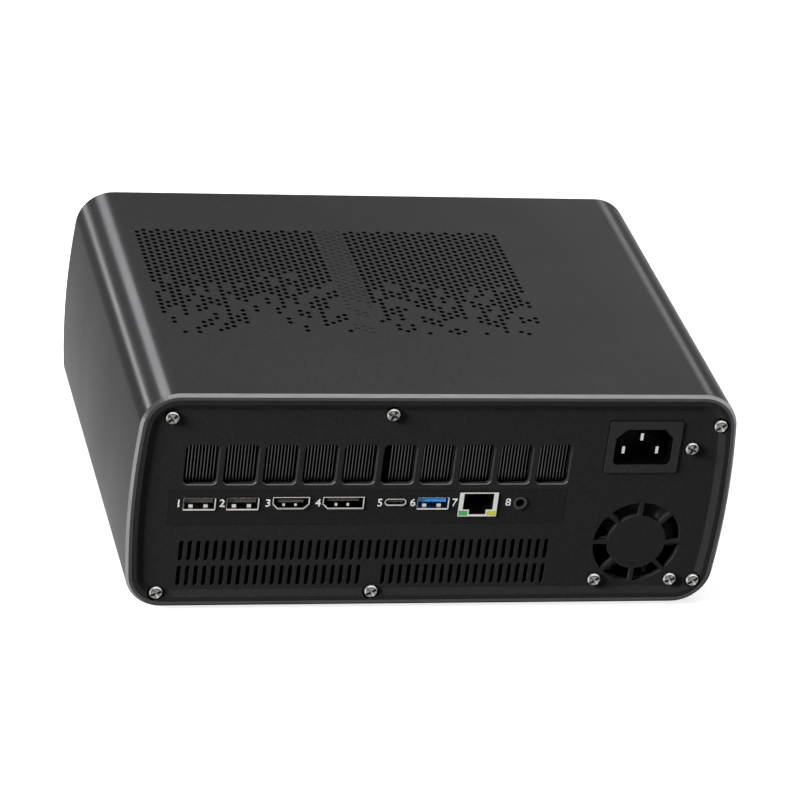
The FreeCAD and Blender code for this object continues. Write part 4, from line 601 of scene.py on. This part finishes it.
# %% Sizes of the perforation
HOLES = {
    "Hole Diameter": mm(2.15), "Column Step": mm(2.956), "Hole Step": mm(3.453),
    "Full Until": mm(-17.0), "Ends At": mm(36.4), "Dropped At The End": 0.71,
    "Rib Half Width": mm(4.6), "Rib Dimple": mm(0.12), "Disorder": 0.55, "Seed": 5,
}
COLUMNS, ROWS = 53, 27
FIELD_X, FIELD_Y = mm(102.1), mm(-53.42)  # where the first column and the first row stand
tree, given = new_tree("staggered_drilling", [
    *((name, "Int" if name == "Seed" else "Float", value) for name, value in HOLES.items()),
    ("Finish", "Material", None),
])
size = given.outputs
print("field in mm:", round(1000 * HOLES["Column Step"] * (COLUMNS - 1), 1), "by",
      round(1000 * HOLES["Hole Step"] * (ROWS - 0.5), 1))

# %% [markdown]
# ## Two grids of points
# Every second column is shifted by half a step, as in a honeycomb, so that the metal left between holes
# is equally wide everywhere. One grid holds the odd columns, the other the even ones.

# %% Two grids of points
def math_node(operation, *values):
    """One calculation in the current tree."""
    return add(tree, "ShaderNodeMath", dict(enumerate(values)), operation=operation).outputs[0]


grids = []
for column in (0, 1):
    count = (COLUMNS + 1 - column) // 2
    wide = math_node("MULTIPLY", size["Column Step"], 2.0 * (count - 1))
    deep = math_node("MULTIPLY", size["Hole Step"], ROWS - 1.0)
    grid = add(tree, "GeometryNodeMeshGrid", {
        "Size X": wide, "Size Y": deep, "Vertices X": count, "Vertices Y": ROWS})
    middle_x = math_node("MULTIPLY_ADD", wide, -0.5, FIELD_X - column * HOLES["Column Step"])
    middle_y = math_node("MULTIPLY_ADD", deep, 0.5, FIELD_Y + (1 - column) * HOLES["Hole Step"] / 2)
    at = add(tree, "ShaderNodeCombineXYZ", {"X": middle_x, "Y": middle_y, "Z": case_high.z})
    grids.append(add(tree, "GeometryNodeSetPosition", {"Geometry": grid.outputs["Mesh"], "Offset": at.outputs[0]}))
points = add(tree, "GeometryNodeJoinGeometry")
for grid in grids:
    tree.links.new(grid.outputs[0], points.inputs[0])
print("points before thinning:", COLUMNS * ROWS)

# %% [markdown]
# ## Thinning towards the rear
# A point is dropped when its number is below the chance at its place. Plain random numbers leave clumps
# and gaps. Steps of the three shares below spread evenly over a range, so dropped pairs keep their
# distance, and some chance with a fixed seed hides the rule.

# %% Thin them towards the rear
ACROSS, ALONG, PHASE = 0.754878, 0.569840, 0.618034
spot = add(tree, "ShaderNodeSeparateXYZ", {0: add(tree, "GeometryNodeInputPosition").outputs[0]})
from_first = math_node("SUBTRACT", FIELD_X, spot.outputs["X"])
column_no = math_node("ROUND", math_node("DIVIDE", from_first, size["Column Step"]))
row_no = math_node("DIVIDE", math_node("SUBTRACT", spot.outputs["Y"], FIELD_Y), size["Hole Step"])
shifted = math_node("MULTIPLY_ADD", math_node("FRACT", math_node("MULTIPLY", column_no, PHASE)), 2.0, row_no)
pair = math_node("FLOOR", math_node("MULTIPLY", shifted, 0.5))
own_number = math_node("MULTIPLY_ADD", column_no, 100.0, pair)
dice = add(tree, "FunctionNodeRandomValue", {"ID": own_number, "Seed": size["Seed"]}, data_type="FLOAT")
spread = math_node("MULTIPLY_ADD", column_no, ACROSS, math_node("MULTIPLY", pair, ALONG))
even = math_node("FRACT", math_node("MULTIPLY_ADD", dice.outputs[1], size["Disorder"], spread))
chance = add(tree, "ShaderNodeMapRange", {
    0: spot.outputs["Y"], 1: size["Full Until"], 2: size["Ends At"], 3: 0.0, 4: size["Dropped At The End"]})
drop = add(tree, "FunctionNodeCompare", {0: even, 1: chance.outputs[0]}, data_type="FLOAT", operation="LESS_THAN")
kept = add(tree, "GeometryNodeDeleteGeometry", {
    "Geometry": points.outputs[0], "Selection": drop.outputs[0]}, domain="POINT")
print("share dropped in the last row:", HOLES["Dropped At The End"])

# %% [markdown]
# ## Drilling
# A rib under the middle of the roof holds a screw. Above it the drills are lifted, so that they only
# leave shallow dimples there and never cut into the thread. Twelve sides are enough for a 2 mm hole.

# %% Drill the roof
DRILL_OVER, DRILL_UNDER = mm(1.0), mm(0.2)  # how far a drill stands out of the wall on both sides
through = WALL + DRILL_UNDER
off_rib = math_node("ABSOLUTE", math_node("SUBTRACT", spot.outputs["X"], rib_x))
beside_rib = math_node("GREATER_THAN", off_rib, size["Rib Half Width"])
depth = math_node("MULTIPLY_ADD", beside_rib, through - HOLES["Rib Dimple"], size["Rib Dimple"])
half_length = math_node("MULTIPLY", math_node("ADD", through, DRILL_OVER), 0.5)
lift = add(tree, "ShaderNodeCombineXYZ", {"Z": math_node("SUBTRACT", half_length, depth)})
placed = add(tree, "GeometryNodeSetPosition", {"Geometry": kept.outputs[0], "Offset": lift.outputs[0]})
drill = add(tree, "GeometryNodeMeshCylinder", {
    "Vertices": 12, "Depth": math_node("MULTIPLY", half_length, 2.0),
    "Radius": math_node("MULTIPLY", size["Hole Diameter"], 0.5)})
drills = add(tree, "GeometryNodeInstanceOnPoints", {"Points": placed.outputs[0], "Instance": drill.outputs["Mesh"]})
real_drills = add(tree, "GeometryNodeRealizeInstances", {0: drills.outputs[0]})
cut = add(tree, "GeometryNodeMeshBoolean", {"Mesh 1": size["Geometry"], "Mesh 2": real_drills.outputs[0]},
          operation="DIFFERENCE", solver="MANIFOLD")
end_tree(tree, cut.outputs["Mesh"], size["Finish"])
sleeve = put("perforated_sleeve", welded_copy("case_sleeve"))
run_tree(sleeve, tree, {**HOLES, "Finish": anodised})

# %% [markdown]
# ## Exact shading for the sleeve
# After the cut, long thin triangles run across the roof, and averaged normals would make it look dented.
# The sleeve's section is known exactly: flat roof and floor, round corners, slightly bulging sides. So
# the true direction of the surface is worked out at every corner of every face and stored in the mesh.

# %% True normals on the sleeve's skin
def skin_normals(x, z):
    """The sleeve's outward direction in X and Z for points on its skin, from its arcs' centres."""
    side, middle = WIDTH / 2 - BULGE, FOOT + HEIGHT / 2
    rise, reach_to = HEIGHT / 2 - CORNER, BULGE - CORNER
    corner = side + math.sqrt(reach_to ** 2 - rise ** 2)
    slope = rise / (corner - side)
    sign_x, dz = np.sign(x), z - middle
    dx = np.abs(x)
    on_side = (np.abs(dz) <= slope * (dx - side)) & (dx > corner)
    on_corner = ~on_side & (dx > corner)
    nx = np.where(on_side, dx - side, np.where(on_corner, dx - corner, 0.0)) * sign_x
    nz = np.where(on_side, dz, np.where(on_corner, np.sign(dz) * (np.abs(dz) - rise), np.sign(dz)))
    length = np.maximum(np.hypot(nx, nz), 1e-12)
    return nx / length, nz / length


def set_true_normals(mesh):
    """Uses the exact direction wherever a face lies along the skin, and the face's own elsewhere."""
    for polygon in mesh.polygons:
        polygon.use_smooth = True
    corners = np.zeros(len(mesh.vertices) * 3, np.float32)
    mesh.vertices.foreach_get("co", corners)
    corners = corners.reshape(-1, 3).astype(float)
    vertex_of = np.zeros(len(mesh.loops), np.int32)
    mesh.loops.foreach_get("vertex_index", vertex_of)
    flat = np.zeros((len(mesh.polygons), 3), np.float32)
    mesh.polygons.foreach_get("normal", flat.ravel())
    sides = np.zeros(len(mesh.polygons), np.int32)
    mesh.polygons.foreach_get("loop_total", sides)
    face_normal = np.repeat(flat, sides, axis=0).astype(float)
    spots = corners[vertex_of]
    nx, nz = skin_normals(spots[:, 0], spots[:, 2])
    for sign in (1, -1):
        along = sign * (face_normal[:, 0] * nx + face_normal[:, 2] * nz)
        close = (along > 0.985) & (np.abs(face_normal[:, 1]) < 0.05)
        face_normal[close] = np.stack([sign * nx, np.zeros_like(nx), sign * nz], axis=1)[close]
    mesh.normals_split_custom_set(face_normal.tolist())
    print("true normals on", len(vertex_of), "face corners")


set_true_normals(sleeve.data)

# %% [markdown]
# ## Two finishes on one piece
# The milled edges and the drilled walls belong to the sleeve but look different: the edges carry a painted
# highlight and the walls a painted shade. Each face gets its finish by its place and its direction, which holds for any
# pattern of holes.

# %% Paint the milled edges and the drilled walls
def paint(mesh, material, test):
    """Gives a material to the faces whose centre and normal pass the test."""
    mesh.materials.append(material)
    chosen = [face for face in mesh.polygons if test(face.center, face.normal)]
    for face in chosen:
        face.material_index = len(mesh.materials) - 1
    print(material.name, "on", len(chosen), "faces")


CHAMFER = mm(1.2)
field = (FIELD_X + mm(2), mm(60))  # half the width and depth that surely hold every hole
# Painted highlight on the milled end edges.
paint(sleeve.data, milled_edge_painted_highlight, lambda at, to: 0.3 < abs(to.y) < 0.95 and abs(at.y) > case_high.y - CHAMFER)
# Painted shade on the walls of the holes.
paint(sleeve.data, drilled_wall_painted_shade, lambda at, to: abs(to.z) < 0.3 and at.z > case_high.z - WALL
      and abs(at.x) < field[0] and abs(at.y) < field[1])
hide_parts("case_sleeve")
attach(sleeve, "case")

# %% [markdown]
# ## Copies in given places
# The next pieces repeat a small modelled shape at places that were read from the parts. A mesh of loose
# points carries the places, and a turn for each point. One tree puts the shape on every point, with an
# extra turn by chance where the shape asks for it, as screws do: no two of them stop at the same angle.

# %% A tree that copies a shape to points
def points_mesh(name, places, turns=None):
    """Loose points, each with its turn about Z in radians."""
    mesh = bpy.data.meshes.new(name)
    mesh.from_pydata([tuple(p) for p in places], [], [])
    turn_of = mesh.attributes.new("turn", "FLOAT", "POINT")
    turn_of.data.foreach_set("value", turns or [0.0] * len(places))
    return mesh


tree, given = new_tree("copies_on_points", [
    ("Shape", "Object", None), ("Spin About Y", "Float", 0.0), ("Seed", "Int", 0), ("Finish", "Material", None)])
shape = add(tree, "GeometryNodeObjectInfo", {"Object": given.outputs["Shape"]})
turn = add(tree, "GeometryNodeInputNamedAttribute", {"Name": "turn"}, data_type="FLOAT")
chance = add(tree, "FunctionNodeRandomValue", {
    2: 0.0, 3: given.outputs["Spin About Y"], "Seed": given.outputs["Seed"]}, data_type="FLOAT")
angles = add(tree, "ShaderNodeCombineXYZ", {"Y": chance.outputs[1], "Z": turn.outputs[0]})
copies = add(tree, "GeometryNodeInstanceOnPoints", {
    "Points": given.outputs["Geometry"], "Instance": shape.outputs["Geometry"], "Rotation": angles.outputs[0]})
end_tree(tree, copies.outputs[0], given.outputs["Finish"])
copies_on_points = tree


def copy_to(name, shape_mesh, places, finish, turns=None, spin=0.0, seed=0):
    """A piece made of copies of a mesh at the places."""
    template = put(name + "_shape", shape_mesh)
    piece = put(name, points_mesh(name, places, turns))
    run_tree(piece, copies_on_points, {"Shape": template, "Spin About Y": spin, "Seed": seed, "Finish": finish})
    bpy.data.objects.remove(template)
    return piece


def soft_normals(mesh, limit=20.0):
    """Smooths the shading over edges below the limit in degrees; large faces outweigh small ones."""
    for polygon in mesh.polygons:
        polygon.use_smooth = True
    faces_at = [[] for _ in mesh.vertices]
    for polygon in mesh.polygons:
        for vertex in polygon.vertices:
            faces_at[vertex].append(polygon.index)
    faces = [(polygon.normal.copy(), polygon.area) for polygon in mesh.polygons]
    least, corners = math.cos(math.radians(limit)), []
    for polygon in mesh.polygons:
        own = faces[polygon.index][0]
        for vertex in polygon.vertices:
            total = own * 1e-12
            for normal, area in (faces[i] for i in faces_at[vertex]):
                if normal.dot(own) > least:
                    total = total + normal * area
            corners.append(total.normalized())
    mesh.normals_split_custom_set(corners)


print("copying tree has", len(copies_on_points.nodes), "nodes")

# %% [markdown]
# ## The rear panel and its ten windows
# The windows are punched through painted steel sheet. Every window has a fine bright line where its edge
# faces up: the edge is flared, and a lighter shade there is a painted highlight. A cutter with
# sloping walls, one for all windows, is copied to each of them and takes 0.3 mm off the edge.

# %% Flare the windows
def ring_between(made, lower, upper):
    """Joins two rings of vertices, both of the same length, with four-sided faces."""
    for i in range(len(lower)):
        made.faces.new((lower[i - 1], lower[i], upper[i], upper[i - 1]))


def close_rings(made, rings):
    """Joins each ring to the next and closes the first and the last with a face."""
    for lower, upper in zip(rings, rings[1:]):
        ring_between(made, lower, upper)
    made.faces.new(rings[0])
    made.faces.new(rings[-1])


def closed_mesh(made, name):
    """Turns all faces outwards and hands the shape over as a mesh."""
    bmesh.ops.recalc_face_normals(made, faces=made.faces)
    mesh = bpy.data.meshes.new(name)
    made.to_mesh(mesh)
    made.free()
    return mesh


def grown(outline, by):
    """A convex outline, pushed outwards by a distance at every corner."""
    count = len(outline)
    twice_area = sum(outline[i - 1][0] * outline[i][1] - outline[i][0] * outline[i - 1][1] for i in range(count))
    out = []
    for i in range(count):
        before, here, after = (Vector(outline[j % count]) for j in (i - 1, i, i + 1))
        sides = [(here - before).normalized(), (after - here).normalized()]
        normal = sum((Vector((s.y, -s.x)) for s in sides), Vector((0, 0))) * (0.5 if twice_area > 0 else -0.5)
        out.append(here + normal * (by / max(normal.length_squared, 0.25)))
    return out


def stacked_rings(outline, steps):
    """A closed mesh through rings of one outline, each grown by the first and placed at the second of a step."""
    made = bmesh.new()
    close_rings(made, [[made.verts.new((x, y, z)) for x, z in grown(outline, by)] for by, y in steps])
    return closed_mesh(made, "stacked_rings")


WINDOW_WIDTH, WIDTH_SLACK = mm(13.3), mm(0.5)
FLARE, OVER = mm(0.3), mm(0.05)  # how much of the edge goes, and how far the cutter stands out of it
openings = outlines_of("rear_panel", panel_face)
windows = [o for o in openings if abs(span(o)[1] - span(o)[0] - WINDOW_WIDTH) < WIDTH_SLACK]
left, right_side, low, high = span(windows[0])
middle = Vector(((left + right_side) / 2, 0, (low + high) / 2))
cutter = stacked_rings([(x - middle.x, z - middle.z) for x, z in windows[0]],
                       [(-OVER, -FLARE - OVER), (FLARE + OVER, OVER)])
places = [((span(w)[0] + span(w)[1]) / 2, panel_face, (span(w)[2] + span(w)[3]) / 2) for w in windows]
cutters = copy_to("window_cutters", cutter, places, powder)
print("windows:", len(windows), "of", len(openings), "outlines")

# %% [markdown]
# ## Cutting the windows
# One Boolean takes all ten cutters out of the panel. A lighter shade, a painted highlight, goes only where
# a face of the cut slopes and looks up, because that is where it catches the light.

# %% Cut them into the panel
tree, given = new_tree("flared_windows", [("Cutters", "Object", None), ("Finish", "Material", None)])
tools = add(tree, "GeometryNodeObjectInfo", {"Object": given.outputs["Cutters"]})
cut = add(tree, "GeometryNodeMeshBoolean", {"Mesh 1": given.outputs["Geometry"], "Mesh 2": tools.outputs["Geometry"]},
          operation="DIFFERENCE", solver="MANIFOLD")
end_tree(tree, cut.outputs["Mesh"], given.outputs["Finish"])
panel = put("rear_panel_with_flared_windows", welded_copy("rear_panel"))
run_tree(panel, tree, {"Cutters": cutters, "Finish": powder})
bpy.data.objects.remove(cutters)
soft_normals(panel.data)
ROW_REACH, ROW_HALF = mm(10), mm(108)  # what surely holds the row of windows: above and below, and aside
# Painted highlight on the upward faces of the window edges.
paint(panel.data, punched_edge_painted_highlight, lambda at, to: 0.3 < to.y < 0.95 and to.z > 0.25 and abs(at.y - panel_face) < FLARE
      and abs(at.z - places[0][2]) < ROW_REACH and abs(at.x) < ROW_HALF)
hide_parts("rear_panel")
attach(panel, "case")

# %% [markdown]
# ## Screws
# Nine pan-head screws hold the panel. A head is a low dome with a deep cross in it, pressed by a tapered
# punch. The dome is turned from a short profile, the cross is one twelve-sided plug that narrows with
# depth, and a Boolean takes the plug out of the dome.

# %% Model one screw
HEAD_R, HEAD_H, SHANK_R, TIP = mm(3.0), mm(2.1), mm(1.45), mm(0.3)
# The cross at its foot and above the head: how far an arm reaches, half its width, and its height.
CROSS = ((mm(1.5), mm(0.36), HEAD_H - mm(1.6)), (mm(2.7), mm(0.6), HEAD_H + mm(0.3)))
# The head's outline: shares of its radius and of its height.
DOME = ((0.0, 1.0), (0.4, 0.99), (0.64, 0.95), (0.76, 0.87), (0.86, 0.72), (0.95, 0.5), (1.0, 0.25), (0.985, 0.0))


def lathe(made, profile, turns=24):
    """Turns (radius, y) points about Y; the first and last radius are 0."""
    poles = [made.verts.new((0, profile[0][1], 0)), made.verts.new((0, profile[-1][1], 0))]
    rings = [[made.verts.new((r * math.cos(a), y, r * math.sin(a)))
              for a in (2 * math.pi * i / turns for i in range(turns))] for r, y in profile[1:-1]]
    for lower, upper in zip(rings, rings[1:]):
        ring_between(made, lower, upper)
    for pole, ring in zip(poles, (rings[0], rings[-1])):
        for i in range(turns):
            made.faces.new((ring[i - 1], ring[i], pole))


def screw_mesh(length):
    """A pan-head screw along Y, its head's underside at 0, with its cross cut by a Boolean."""
    made = bmesh.new()
    dome = [(r * HEAD_R, y * HEAD_H) for r, y in DOME]
    lathe(made, dome + [(SHANK_R, 0.0), (SHANK_R, -length), (0.0, -length - TIP)])
    screw = put("screw", closed_mesh(made, "screw_body"))
    made = bmesh.new()
    close_rings(made, [[made.verts.new((c * x - s * z, y, s * x + c * z))
                        for c, s in ((1, 0), (0, 1), (-1, 0), (0, -1))
                        for x, z in ((reach, -half), (reach, half), (half, half))] for reach, half, y in CROSS])
    punch = put("punch", closed_mesh(made, "cross_plug"))
    cutting = screw.modifiers.new("cross", "BOOLEAN")
    cutting.object, cutting.operation, cutting.solver = punch, "DIFFERENCE", "MANIFOLD"
    mesh = settled_mesh(screw)
    for done in (screw, punch):
        bpy.data.objects.remove(done)
    return mesh


print("head in mm:", [round(2000 * HEAD_R, 2), round(1000 * HEAD_H, 2)])

# %% [markdown]
# ## Painted highlight and shade on the heads
# The rounded edge of a head gets a painted highlight, near white, and the ring inside it a painted shade,
# near black. Both are chosen by the direction of a face, so they stay in place however far a screw is turned: the
# painted highlight runs all the way round, and the painted shade shows on the upper half, where it faces the panel's
# edge.

# %% Put the screws in
# Painted highlight for the rounded edge of each head, and painted shade for the ring inside it.
painted_highlight_edge = finish("bright_nickel_edge", ("ECECE8", "F6F6F2", 0.4), (0.22, 0.3, 0.6), (0.004, 0.4), Metallic=1.0)
painted_shade_ring = finish("dull_nickel_ring", ("303030", "3A3A3A", 0.4), (0.45, 0.53, 0.6), (0.004, 0.4), Metallic=1.0)
for node, name, length in (("rear_case_screws", "case_screws_with_crosses", mm(6)),
                           ("psu_screws", "supply_screws_with_crosses", mm(3))):
    places = [((low.x + high.x) / 2, high.y - HEAD_H, (low.z + high.z) / 2) for low, high in solids_of(node)]
    screws = copy_to(name, screw_mesh(length), places, screw_steel, spin=math.pi, seed=4)
    # Painted highlight on the rounded edge.
    paint(screws.data, painted_highlight_edge, lambda at, to: 0.4 < to.y < 0.85)
    # Painted shade on the upper half of the ring inside the edge.
    paint(screws.data, painted_shade_ring, lambda at, to: 0.85 < to.y < 0.96 and to.z > 0.1)
    soft_normals(screws.data, 35.0)
    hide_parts(node)
    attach(screws, "case")

# %% [markdown]
# ## Socket sleeves
# The steel sleeves of the sockets are folded from thin sheet. Inside the mouth the edge is pressed to a
# slope that leads the plug in; it catches light along the lower edge and stays dim along the upper one.
# Every sleeve is one closed section of the sheet, swept round the outline that the part's own sleeve has.

# %% Fold the sleeves
SHEET = mm(0.35)
first_low, first_high = solids_of("type_a_shells")[0]
sleeve_depth = first_high.y - first_low.y
# The section of the sheet: how far it is grown from the outline, and how far it stands out of the mouth.
SECTION = ((0.0, -sleeve_depth), (0.0, mm(-0.1)), (mm(-0.04), 0.0), (mm(-0.08), 0.0),
           (mm(-0.45), mm(-0.37)), (-SHEET, mm(-0.6)), (-SHEET, -sleeve_depth))
made = bmesh.new()
sleeves = []
for node in ("type_a_shells", "video_port_shells", "type_c_shell"):
    low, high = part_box(node)
    for mouth_y, facing in ((high.y, 1), (low.y, -1)):
        outlines = outlines_of(node, mouth_y, facing)
        if mouth_y < 0 and node != "type_a_shells":
            continue
        outer = [o for o in outlines if not any(
            span(p)[0] < span(o)[0] - mm(0.1) and span(p)[1] > span(o)[1] + mm(0.1) for p in outlines)]
        for outline in outer:
            sleeves.append((node, facing, mouth_y, span(outline)))
            rings = [[made.verts.new((x, mouth_y + facing * out, z)) for x, z in grown(outline, by)]
                     for by, out in SECTION]
            for ring, following in zip(rings, rings[1:] + rings[:1]):
                ring_between(made, ring, following)
sleeve_mesh = closed_mesh(made, "socket_sleeves")
sleeve_mesh.materials.append(nickel)
socket_sleeves = put("socket_sleeves", sleeve_mesh)
soft_normals(socket_sleeves.data, 35.0)
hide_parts("type_a_shells", "video_port_shells", "type_c_shell")
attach(socket_sleeves, "case")
print("sleeves:", [(node, facing, [round(1000 * v, 1) for v in box]) for node, facing, _, box in sleeves])

# %% [markdown]
# ## Contact springs
# On the floor of each socket two leaf springs press on the plug and carry its screen to ground. A spring
# is a narrow strip bent up into an arch with a steep front. The strip is swept from a short profile, and
# the copying tree puts two of them into every socket, turned round for the sockets in the front.

# %% Bend a spring and copy it
# The arch from the mouth inwards, in mm: depth and height over the floor.
ARCH = ((-2.0, 0.0), (-2.2, 0.65), (-2.5, 1.1), (-2.9, 1.3), (-3.6, 1.25), (-4.6, 0.85), (-6.6, 0.0))


def arch_mesh(width):
    """A strip of this width that follows the arch, closed along the floor."""
    made = bmesh.new()
    rows = [[made.verts.new((side * width / 2, mm(y), mm(z))) for side in (-1, 1)] for y, z in ARCH]
    under = [[made.verts.new((side * width / 2, mm(y), mm(-0.05))) for side in (-1, 1)] for y, _ in ARCH]
    for i in range(len(ARCH) - 1):
        a, b, c, d = rows[i], rows[i + 1], under[i], under[i + 1]
        for corners in ((a[0], a[1], b[1], b[0]), (c[1], c[0], d[0], d[1]),
                        (a[0], b[0], d[0], c[0]), (b[1], a[1], c[1], d[1])):
            made.faces.new(corners)
    made.faces.new((rows[0][1], rows[0][0], under[0][0], under[0][1]))
    made.faces.new((rows[-1][0], rows[-1][1], under[-1][1], under[-1][0]))
    return closed_mesh(made, "spring")


for node, width, spread in (("type_a_shells", mm(1.7), mm(3.0)), ("video_port_shells", mm(1.0), mm(2.4))):
    places, turns = [], []
    for owner, facing, mouth_y, (left, right_side, floor_z, _) in sleeves:
        for side in (-1, 1) if owner == node else ():
            places.append(((left + right_side) / 2 + side * spread, mouth_y, floor_z + SHEET))
            turns.append(0.0 if facing > 0 else math.pi)
    springs = copy_to(node.replace("shells", "contact_springs"), arch_mesh(width), places, nickel, turns)
    soft_normals(springs.data, 35.0)
    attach(springs, "case")

# %% [markdown]
# ## Blades of the mains socket
# The three flat pins of the mains socket are stamped from nickel-plated brass, and their ends are pressed
# to a blunt point so that they find their slots. Only the small flat ends catch the light.

# %% Model the blades
POINT = ((0.0, mm(1.2)), (mm(0.12), mm(0.6)), (mm(0.4), 0.0))  # how far in from the sides and the end
made = bmesh.new()
for low, high in solids_of("ac_inlet_blades"):
    middle, half = (low + high) / 2, (high - low) / 2
    steps = [(0.0, low.y)] + [(inset, high.y - before) for inset, before in POINT]
    close_rings(made, [[made.verts.new((middle.x + sx * (half.x - inset), y, middle.z + sz * (half.z - inset)))
                        for sx, sz in ((-1, -1), (1, -1), (1, 1), (-1, 1))] for inset, y in steps])
blade_mesh = closed_mesh(made, "pointed_blades")
blade_mesh.materials.append(nickel)
blades = put("pointed_blades", blade_mesh)
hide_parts("ac_inlet_blades")
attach(blades, "case")
print("blades:", len(blade_mesh.polygons), "faces")

# %% [markdown]
# ## Printed numbers
# The sockets are numbered from 1 to 8 in white screen print, as plain as the scale of a dial. Each numeral
# is a text curve, turned into a mesh, then laid flat on the plate with a thickness of one coat of ink.

# %% Print the numbers
NUMERAL_HEIGHT, NUMERAL_GAP, INK, BOLDER = mm(3.3), mm(1.7), mm(0.012), mm(0.05)
CAP_SHARE = 0.69  # a numeral's height as a share of the font's size
ONTO_PANEL = Matrix(((-1, 0, 0), (0, 0, 1), (0, 1, 0))).transposed().to_4x4()  # stands up and faces +Y
numbered = [box for node, facing, _, box in sleeves if facing > 0]
for node in ("network_jack_shell", "audio_jacks"):
    low, high = max(solids_of(node), key=lambda box: box[1].y)
    numbered.append((low.x, high.x, low.z, high.z))
numbered.sort(key=lambda box: -box[1])
numeral_z = sum((box[2] + box[3]) / 2 for box in numbered[:2]) / 2
made = bmesh.new()
for number, (left, right_side, low, high) in enumerate(numbered, 1):
    text = bpy.data.curves.new("numeral", "FONT")
    text.body, text.size, text.extrude = str(number), NUMERAL_HEIGHT / CAP_SHARE, INK
    text.align_x, text.align_y, text.resolution_u, text.offset = "CENTER", "CENTER", 4, BOLDER
    written = put("numeral", text)
    mesh = settled_mesh(written)
    mesh.transform(Matrix.Translation((right_side + NUMERAL_GAP, panel_face, numeral_z)) @ ONTO_PANEL)
    made.from_mesh(mesh)
    bpy.data.objects.remove(written)
bmesh.ops.remove_doubles(made, verts=made.verts, dist=SAME_PLACE)
numeral_mesh = closed_mesh(made, "printed_numbers")
numeral_mesh.materials.append(white_ink)
numerals = put("printed_numbers", numeral_mesh)
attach(numerals, "case")
print("numbers:", len(numbered), "faces:", len(numeral_mesh.polygons))
